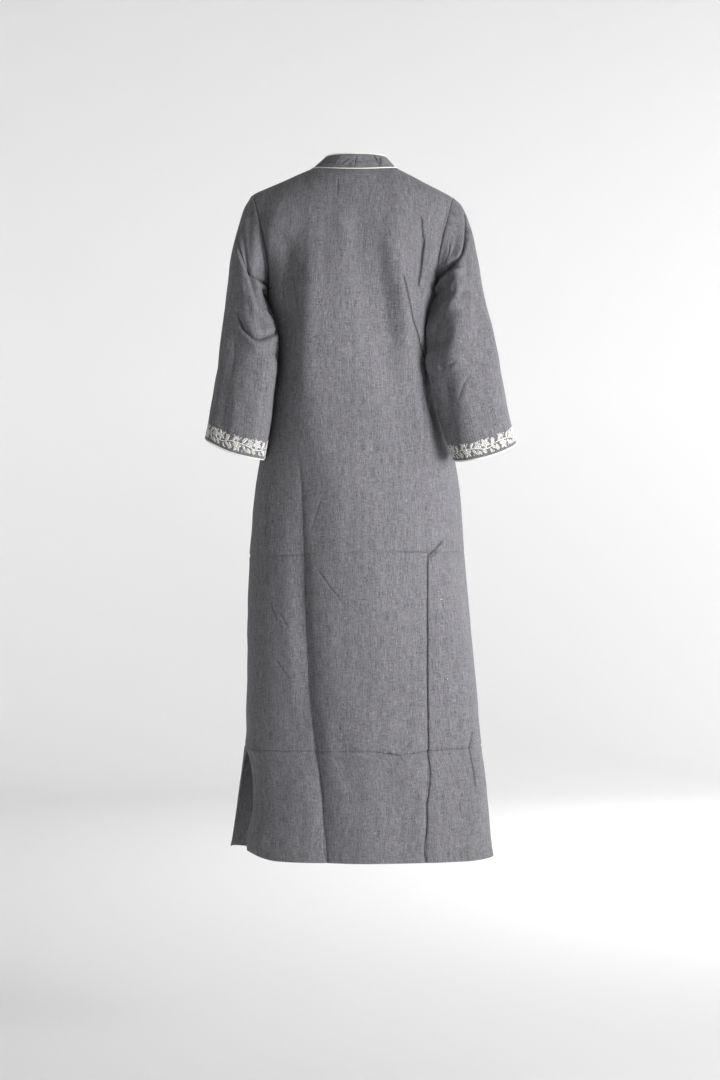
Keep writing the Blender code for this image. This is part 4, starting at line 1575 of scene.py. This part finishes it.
# %% The vine's drawing, in millimetres
REPEAT = 74.0
LEAVES = table(
    "along up turn length width curl",
    """
1.2 17.3 128 12 4.9 0.1
1.9 15.5 -52 12.6 5.1 -0.1
8.2 18.1 58 13.6 4.9 -0.08
9.9 16.7 -44 12.3 4.7 0.12
27.8 17.2 44 14.9 5.5 0.12
29.2 15.4 -62 12.6 4.9 0.1
33.3 15.9 24 10.1 3.9 0.06
38.2 12.8 -38 12 4.9 -0.12
45.6 11.9 84 10.7 4.4 0.08
46.5 11 -34 10.4 4.2 0.05
65.6 14.6 52 14.2 5.2 -0.12
67.2 13.2 -42 11.3 4.7 0.1
62.9 11.4 -66 10.1 4.4 -0.08
""",
)
FLOWERS = table(
    "along up petals length width turn",
    "18.7 11.1 5 9 5.2 12; 56.2 20.8 5 9.3 5.4 40",
)
SPRIGS = table(
    "along up turn spread length width",
    "16.6 20.4 66 40 9.8 3.7; 41.3 20.5 58 44 9.6 3.6; 38.2 10.6 -78 40 8 3.3",
)
TENDRILS = table(
    "along up radius start sweep",
    "40.1 18.3 3.3 230 -320; 72.3 23 3.2 210 -310; 4.7 7.3 3.1 80 320; 53 7.7 3 60 310",
)
DOTS = table("along up", "24.1 26.4; 30.3 6; 47.6 27.1; 64.4 27.6; 44.9 5; 69.3 4.8; 10.6 28.2")
LEAF_CROWN = 0.75
BESIDE_VEIN = 10.0  # keeps strokes and dots clear of the dark vein down a leaf
BAND_MIDDLE = 15.4


def stem_height(along):
    """How high the stem is above the cuff's edge."""
    turn = along * 2 * math.pi / REPEAT
    return BAND_MIDDLE + 3.1 * np.sin(turn) + 0.7 * np.sin(along * 4 * math.pi / REPEAT + 1)


def leaf(at, turn, length, width, crown=LEAF_CROWN, vein=0.32, curl=0.12):
    """A pointed leaf as a grid of along, up and lift, and its UV metres. at is its root, in millimetres."""
    t, s = np.meshgrid(np.linspace(0, 1, 10), np.linspace(-1, 1, 9), indexing="ij")
    half = width / 2 * np.sin(math.pi * t**0.82) ** 0.85
    along, aside = length * t, half * s + curl * length * np.sin(math.pi * t)
    c, k = math.cos(math.radians(turn)), math.sin(math.radians(turn))
    x, y = at[0] + along * c - aside * k, at[1] + along * k + aside * c
    body = (1 - s**2) ** 0.5 * np.sin(math.pi * np.clip(t, 0.02, 0.98)) ** 0.4
    lift = crown * body - vein * bell(s, 0.16) * body - 0.15 * (1 - body)
    return np.stack([x, y, lift], -1), np.stack([half * s, along], -1)


def stroke(path, width, crown=0.42):
    """A line of satin stitch along a path, in the same form as a leaf."""
    ahead = unit(np.gradient(path, axis=0))
    aside = np.stack([-ahead[:, 1], ahead[:, 0]], 1)
    s = np.linspace(-1, 1, 5)
    number = np.arange(len(path))
    taper = np.clip(np.minimum(number, number[::-1]) / 2, 0.25, 1)
    half = (taper * width / 2)[:, None] * s
    flat = path[:, None] + aside[:, None] * half[..., None]
    lift = np.broadcast_to(crown * (1 - s**2) ** 0.5 - 0.1, half.shape)
    return np.dstack([flat, lift]), np.stack([half + BESIDE_VEIN, gone(path)[:, None] + half * 0], -1)


def dot(at, radius, crown=0.6):
    """A small padded dot, in the same form as a leaf."""
    ring, turn = np.meshgrid(np.linspace(1, 0.02, 5), np.linspace(0, 2 * math.pi, 11), indexing="ij")
    x, y = at[0] + radius * ring * np.cos(turn), at[1] + radius * ring * np.sin(turn)
    lift = crown * (1 - ring**2) ** 0.5 - 0.1 * ring
    return np.stack([x, y, lift], -1), np.stack([x - at[0] + BESIDE_VEIN, y - at[1]], -1)


print("one repeat of the vine is", REPEAT, "mm long")

# %% One repeat of the vine


def vine_repeat(start, step):
    """The patches of one repeat. step sets its small differences from its neighbours."""
    sway = math.sin(step * 2.4)
    along = np.linspace(0, REPEAT, 31)
    patches = [stroke(np.stack([start + along, stem_height(along)], 1), 1.6)]
    for number, (place, up, turn, length, width, curl) in enumerate(zip(*LEAVES.values())):
        size = 1 + 0.08 * math.sin(number * 1.9 + step)
        patches.append(leaf((start + place, up), turn + 5 * sway, length * size, width * size, curl=curl))
    for place, up, petals, length, width, turn in zip(*FLOWERS.values()):
        for petal in range(int(petals)):
            angle = turn + 9 * sway + petal * 360 / petals
            root = (start + place + math.cos(math.radians(angle)), up + math.sin(math.radians(angle)))
            patches.append(leaf(root, angle, length, width, 0.85, 0.40, 0.03))
        patches.append(dot((start + place, up), 1.5, 1.2))
    for place, up, turn, spread, length, width in zip(*SPRIGS.values()):
        for side, share in ((-1, 0.88), (0, 1.0), (1, 0.88)):
            patches.append(leaf((start + place, up), turn + side * spread + 5 * sway, length * share, width))
    for place, up, radius, begin, sweep in zip(*TENDRILS.values()):
        turn = np.radians(begin + np.linspace(0, sweep, 15))
        size = radius * np.linspace(1.0, 0.80, 15)
        ring = np.stack([start + place + size * np.cos(turn), up + size * np.sin(turn)], 1)
        patches.append(stroke(ring, 1.5))
        patches.append(dot((start + place, up), 1.15))
    return patches + [dot((start + place, up), 1.1) for place, up in zip(*DOTS.values())]


print("patches in a repeat:", len(vine_repeat(0, 0)))

# %% [markdown]
# To lay the flat drawing on a sleeve, its two millimetre directions are measured on the sleeve's own grid:
# round the cuff and up from its edge. A point between four grid points takes a share of each, of their
# places and of their normals, so the vine follows every fold of the linen.

# %% Laying the vine round a cuff
CUFF_ROWS = 16


def on_cuff(hand, along, up, lift):
    """Points on a sleeve, from millimetres round the cuff, above its edge and off the cloth."""
    whole = (grids[hand], outward(grids[hand], closed=True))
    grid, normals = (np.concatenate([part, part[:, :1]], axis=1)[:CUFF_ROWS] for part in whole)
    around = gone(grid[0])
    rise = np.concatenate([[0], np.cumsum(np.linalg.norm(np.diff(grid, axis=0), axis=2).mean(1))])
    column = np.interp(np.mod(along / 1000, around[-1]), around, np.arange(len(around)))
    row = np.interp(up / 1000, rise, np.arange(len(rise)))
    i, j = np.minimum(row.astype(int), CUFF_ROWS - 2), np.minimum(column.astype(int), len(around) - 2)
    a, b = (row - i)[..., None], (column - j)[..., None]
    weights = ((1 - a) * (1 - b), (1 - a) * b, a * (1 - b), a * b)
    ends = ((i, j), (i, j + 1), (i + 1, j), (i + 1, j + 1))
    place, normal = (sum(w * part[e] for w, e in zip(weights, ends)) for part in (grid, normals))
    return place + unit(normal) * lift[..., None] / 1000


def laid_by(lay, patches):
    """Patches laid on the cloth by lay, each with the turn that makes its faces look away from the cloth."""
    for flat, metres in patches:
        laid = lay(*np.moveaxis(flat, -1, 0))
        normal = np.cross(laid[1, 2] - laid[0, 2], laid[1, 3] - laid[1, 2])
        lifted = lay(*np.moveaxis(flat[1:2, 2:3] + (0, 0, 1), -1, 0))[0, 0] - laid[1, 2]
        yield laid, metres / 1000, -1 if normal @ lifted > 0 else 1


for hand in HANDS:
    girth = np.linalg.norm(grids[hand][0] - np.roll(grids[hand][0], 1, 0), axis=1).sum() * 1000
    repeats = round(girth / REPEAT)
    stretch = girth / (repeats * REPEAT)
    drawn = [patch for step in range(repeats) for patch in vine_repeat(step * REPEAT, step)]
    drawn = [(flat * (stretch, 1, 1), metres) for flat, metres in drawn]
    vine = joined(f"vine_border_{hand}", laid_by(partial(on_cuff, hand), drawn), satin)
    print(f"{vine.name}: {repeats} repeats, {len(drawn)} patches, {len(vine.data.polygons)} faces")

# %% [markdown]
# ## Stitches
#
# The hem, the slits and the neck opening are sewn with slate thread, two and a half millimetres a stitch.
# Each stitch is a small padded stroke that sinks into the cloth at both ends. They follow the lines where
# the turned edges were drawn in above.

# %% Rows of stitches
STITCH = 0.0026
STITCH_GAP = 0.0011
STITCH_WIDTH = 0.0006
STITCH_LIFT = 0.00042
STITCH_SINK = 0.00008


def along_line(points, normals):
    """The place, the direction and the normal of each stitch along a line of points."""
    step, length = STITCH + STITCH_GAP, gone(points)
    at = np.arange(step / 2, length[-1] - step / 2, step)
    parts = (points, np.gradient(points, axis=0), normals)
    place, ahead, normal = (np.stack([np.interp(at, length, line) for line in part.T], 1) for part in parts)
    return zip(place, unit(ahead), unit(normal))


def stitches(name, lines):
    """One mesh with the stitches of several lines. A line is its points and its normals."""
    t, s = np.meshgrid(np.linspace(-1, 1, 5), np.linspace(-1, 1, 5), indexing="ij")
    width = STITCH_WIDTH / 2 * (1 - 0.55 * t**4)
    lift = STITCH_LIFT * (1 - s**2) ** 0.5 * (1 - t**4) - STITCH_SINK
    metres = np.stack([s * width, t * STITCH / 2], -1)
    patches = []
    for line in lines:
        for place, ahead, normal in along_line(*line):
            parts = (ahead * STITCH / 2, t), (np.cross(normal, ahead), s * width), (normal, lift)
            patches.append((place + sum(way * size[..., None] for way, size in parts), metres, 1))
    joined(name, patches, slate_thread)
    print(f"{name}: {len(patches)} stitches")


# %% Stitches of the hem, the side slits and the neck slit
EDGE_COLUMN = 3
NECK_SLIT_OPEN = 0.0004
for face in FACES:
    grid, normals = grids[face], outward(grids[face])
    height = cloths[face][:, 0, 1] - cloths[face][0, 0, 1]
    hem = int(np.argmin(np.abs(height - HEM_TURN)))
    within = slice(EDGE_COLUMN, -EDGE_COLUMN)
    slit = slice(hem, int(np.argmin(np.abs(-grid[:, 0, 2] - SLIT_DROP))))
    spans = ((hem, within), (slit, EDGE_COLUMN), (slit, -1 - EDGE_COLUMN))
    stitches(f"hem_stitches_{face}", [(grid[span], normals[span]) for span in spans])
# The last grid and normals are the front panel's.
rows, middle = apart > NECK_SLIT_OPEN, grid.shape[1] // 2
sides = (middle - 1, middle + 1)
stitches("neck_slit_stitches", [(grid[rows, column], normals[rows, column]) for column in sides])

# %% [markdown]
# ## Neps
#
# Real linen carries a few neps: ends of undyed fibre that were spun or caught in the yarn. Three tiny pale
# tufts on the back are enough.

# %% Tufts on the back panel
NEPS = table("turn length | x drop", "4 3.6 -151.3 752; 40 2.2 -161.1 889.7; 95 1.8 132.8 586.9")
NEP_WIDTH = 0.75


def on_back(x, z, lift):
    """Points on the back panel from metres across, their height and the lift off the cloth."""
    grid, normals = grids["back"], outward(grids["back"])
    spots = np.stack([x.ravel(), z.ravel()], 1)
    flat = grid[..., [0, 2]].reshape(-1, 2)
    near = [int(np.argmin(((flat - spot) ** 2).sum(1))) for spot in spots]
    place, normal = grid.reshape(-1, 3)[near], normals.reshape(-1, 3)[near]
    shift = np.stack([spots[:, 0] - place[:, 0], np.zeros(len(spots)), spots[:, 1] - place[:, 2]], 1)
    shift -= normal * (shift * normal).sum(1)[:, None]
    return (place + shift + normal * lift.ravel()[:, None]).reshape(*x.shape, 3)


tufts = []
for turn, length, x, drop in zip(*NEPS.values()):
    flat, metres = leaf((0, 0), turn, length, NEP_WIDTH, crown=0.5, vein=0.0)
    tufts.append((flat * 1e-3 + (x, -drop, 0), metres))
joined("neps", laid_by(on_back, tufts), cotton)
print("neps:", len(tufts))

# %% [markdown]
# ## The studio
#
# The tunic stands in a white round studio with a coved edge, so no corner shows behind it from any side.
# A broad soft light from the right shapes the folds, a weaker one fills from the left, and one above
# keeps the shoulders clear. The others light the far side of the tunic, the wall and the floor.

# %% The round white studio
FLOOR_Z = -1.605
STUDIO_RADIUS = 6.2
STUDIO_HEIGHT = 5.2
COVE = 1.6


def studio():
    """A floor, a cove and a round wall in one turned surface."""
    bend = np.linspace(0, math.pi / 2, 13)
    inner = STUDIO_RADIUS - COVE
    radii = np.concatenate([[0.001, 1.5, 3.0], inner + COVE * np.sin(bend), [STUDIO_RADIUS]])
    heights = np.concatenate([[0, 0, 0], COVE * (1 - np.cos(bend)), [STUDIO_HEIGHT]]) + FLOOR_Z
    turns = np.linspace(0, 2 * math.pi, 97)
    ring = np.stack([np.cos(turns), np.sin(turns), 0 * turns], -1)
    grid = radii[:, None, None] * ring + heights[:, None, None] * (0, 0, 1)
    index = np.arange(grid[..., 0].size).reshape(grid.shape[:2])
    mesh = bpy.data.meshes.new("studio")
    mesh.from_pydata(grid.reshape(-1, 3).tolist(), [], cells(index)[:, :, ::-1].reshape(-1, 4).tolist())
    mesh.shade_smooth()
    paint, tree, shader = principled("studio white", 0.9)
    cloudy = add_node(tree, "TexNoise", {"Scale": 0.35, "Detail": 1.0}).outputs["Fac"]
    shade = ramp(tree, cloudy, 0.2, 0.8, 0.83, 0.86)
    grey = add_node(tree, "CombineColor", dict.fromkeys((0, 1, 2), shade)).outputs[0]
    tree.links.new(grey, shader.inputs["Base Color"])
    mesh.materials.append(paint)
    placed("studio", mesh)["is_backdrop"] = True


studio()
print("studio:", STUDIO_RADIUS * 2, "m across, floor at", FLOOR_Z)

# %% Lights


def soft_light(name, at, aim, size, power, spread=180):
    """An area light at one place, turned to another. A smaller spread keeps its light nearer its axis."""
    lamp = bpy.data.lights.new(name, "AREA")
    lamp.shape = "RECTANGLE"
    lamp.size, lamp.size_y = size
    lamp.energy = power
    lamp.spread = math.radians(spread)
    light = placed(name, lamp)
    way = np.array(aim) - np.array(at)
    light.location = at
    light.rotation_euler = (math.atan2(math.hypot(way[0], way[1]), -way[2]), 0, math.atan2(-way[0], way[1]))


soft_light("key, from the right", (-2.3, 1.9, -0.4), (0, 0, -0.46), (0.9, 1.2), 39, 100)
soft_light("fill, from the left", (3.2, 3.6, 0.0), (0, 0, -0.7), (2.2, 2.6), 3)
soft_light("top", (0.0, 0.6, 3.0), (0, 0, -0.6), (3.0, 3.0), 5)
soft_light("front side", (-2.4, -3.4, 0.4), (0, 0, -0.7), (1.6, 2.4), 70)
soft_light("wall, right", (-3.6, -1.6, 0.3), (-1.2, -6.2, -0.5), (1.2, 2.4), 165)
soft_light("wall, left", (3.6, -1.6, 0.3), (1.0, -6.2, -0.5), (1.2, 2.4), 8)
soft_light("floor, behind", (-0.3, -2.6, 3.2), (-0.3, -2.4, -1.6), (3.0, 2.6), 29)
soft_light("far wall, right", (-1.6, 1.6, 3.0), (-4.2, 4.6, -0.6), (1.6, 1.6), 40, 140)
soft_light("far wall, left", (1.6, 1.6, 3.0), (4.2, 4.6, -0.6), (1.6, 1.6), 40, 140)

# %% Air and camera
CAMERA_AT = (-0.0087, 4.11, -0.649)
CAMERA_LENS = 77.4

world = bpy.data.worlds.new("studio air")
world.use_nodes = True
air = world.node_tree.nodes["Background"].inputs
air["Color"].default_value = (1, 1, 1, 1)
air["Strength"].default_value = 0.08
bpy.context.scene.world = world

lens = bpy.data.cameras.new("camera")
lens.lens = CAMERA_LENS
lens.sensor_width = 36
lens.clip_end = 60
camera = placed("camera", lens)
camera.location = CAMERA_AT
camera.rotation_euler = (math.pi / 2, 0, math.pi)
bpy.context.scene.camera = camera
bpy.context.scene.view_settings.view_transform = "Standard"
print("camera:", CAMERA_LENS, "mm lens,", CAMERA_AT[1], "m behind the tunic")

# %% [markdown]
# ## The two boxes
#
# The dressed tunic should fill the same box as its plain solids. Both boxes are printed, axis by axis.

# %% Print the boxes and finish
made_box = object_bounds()
for axis, plain, made in zip("XYZ", cad_box[1] - cad_box[0], made_box[1] - made_box[0]):
    print(f"{axis}: plain {plain:.4f} m, dressed {made:.4f} m")
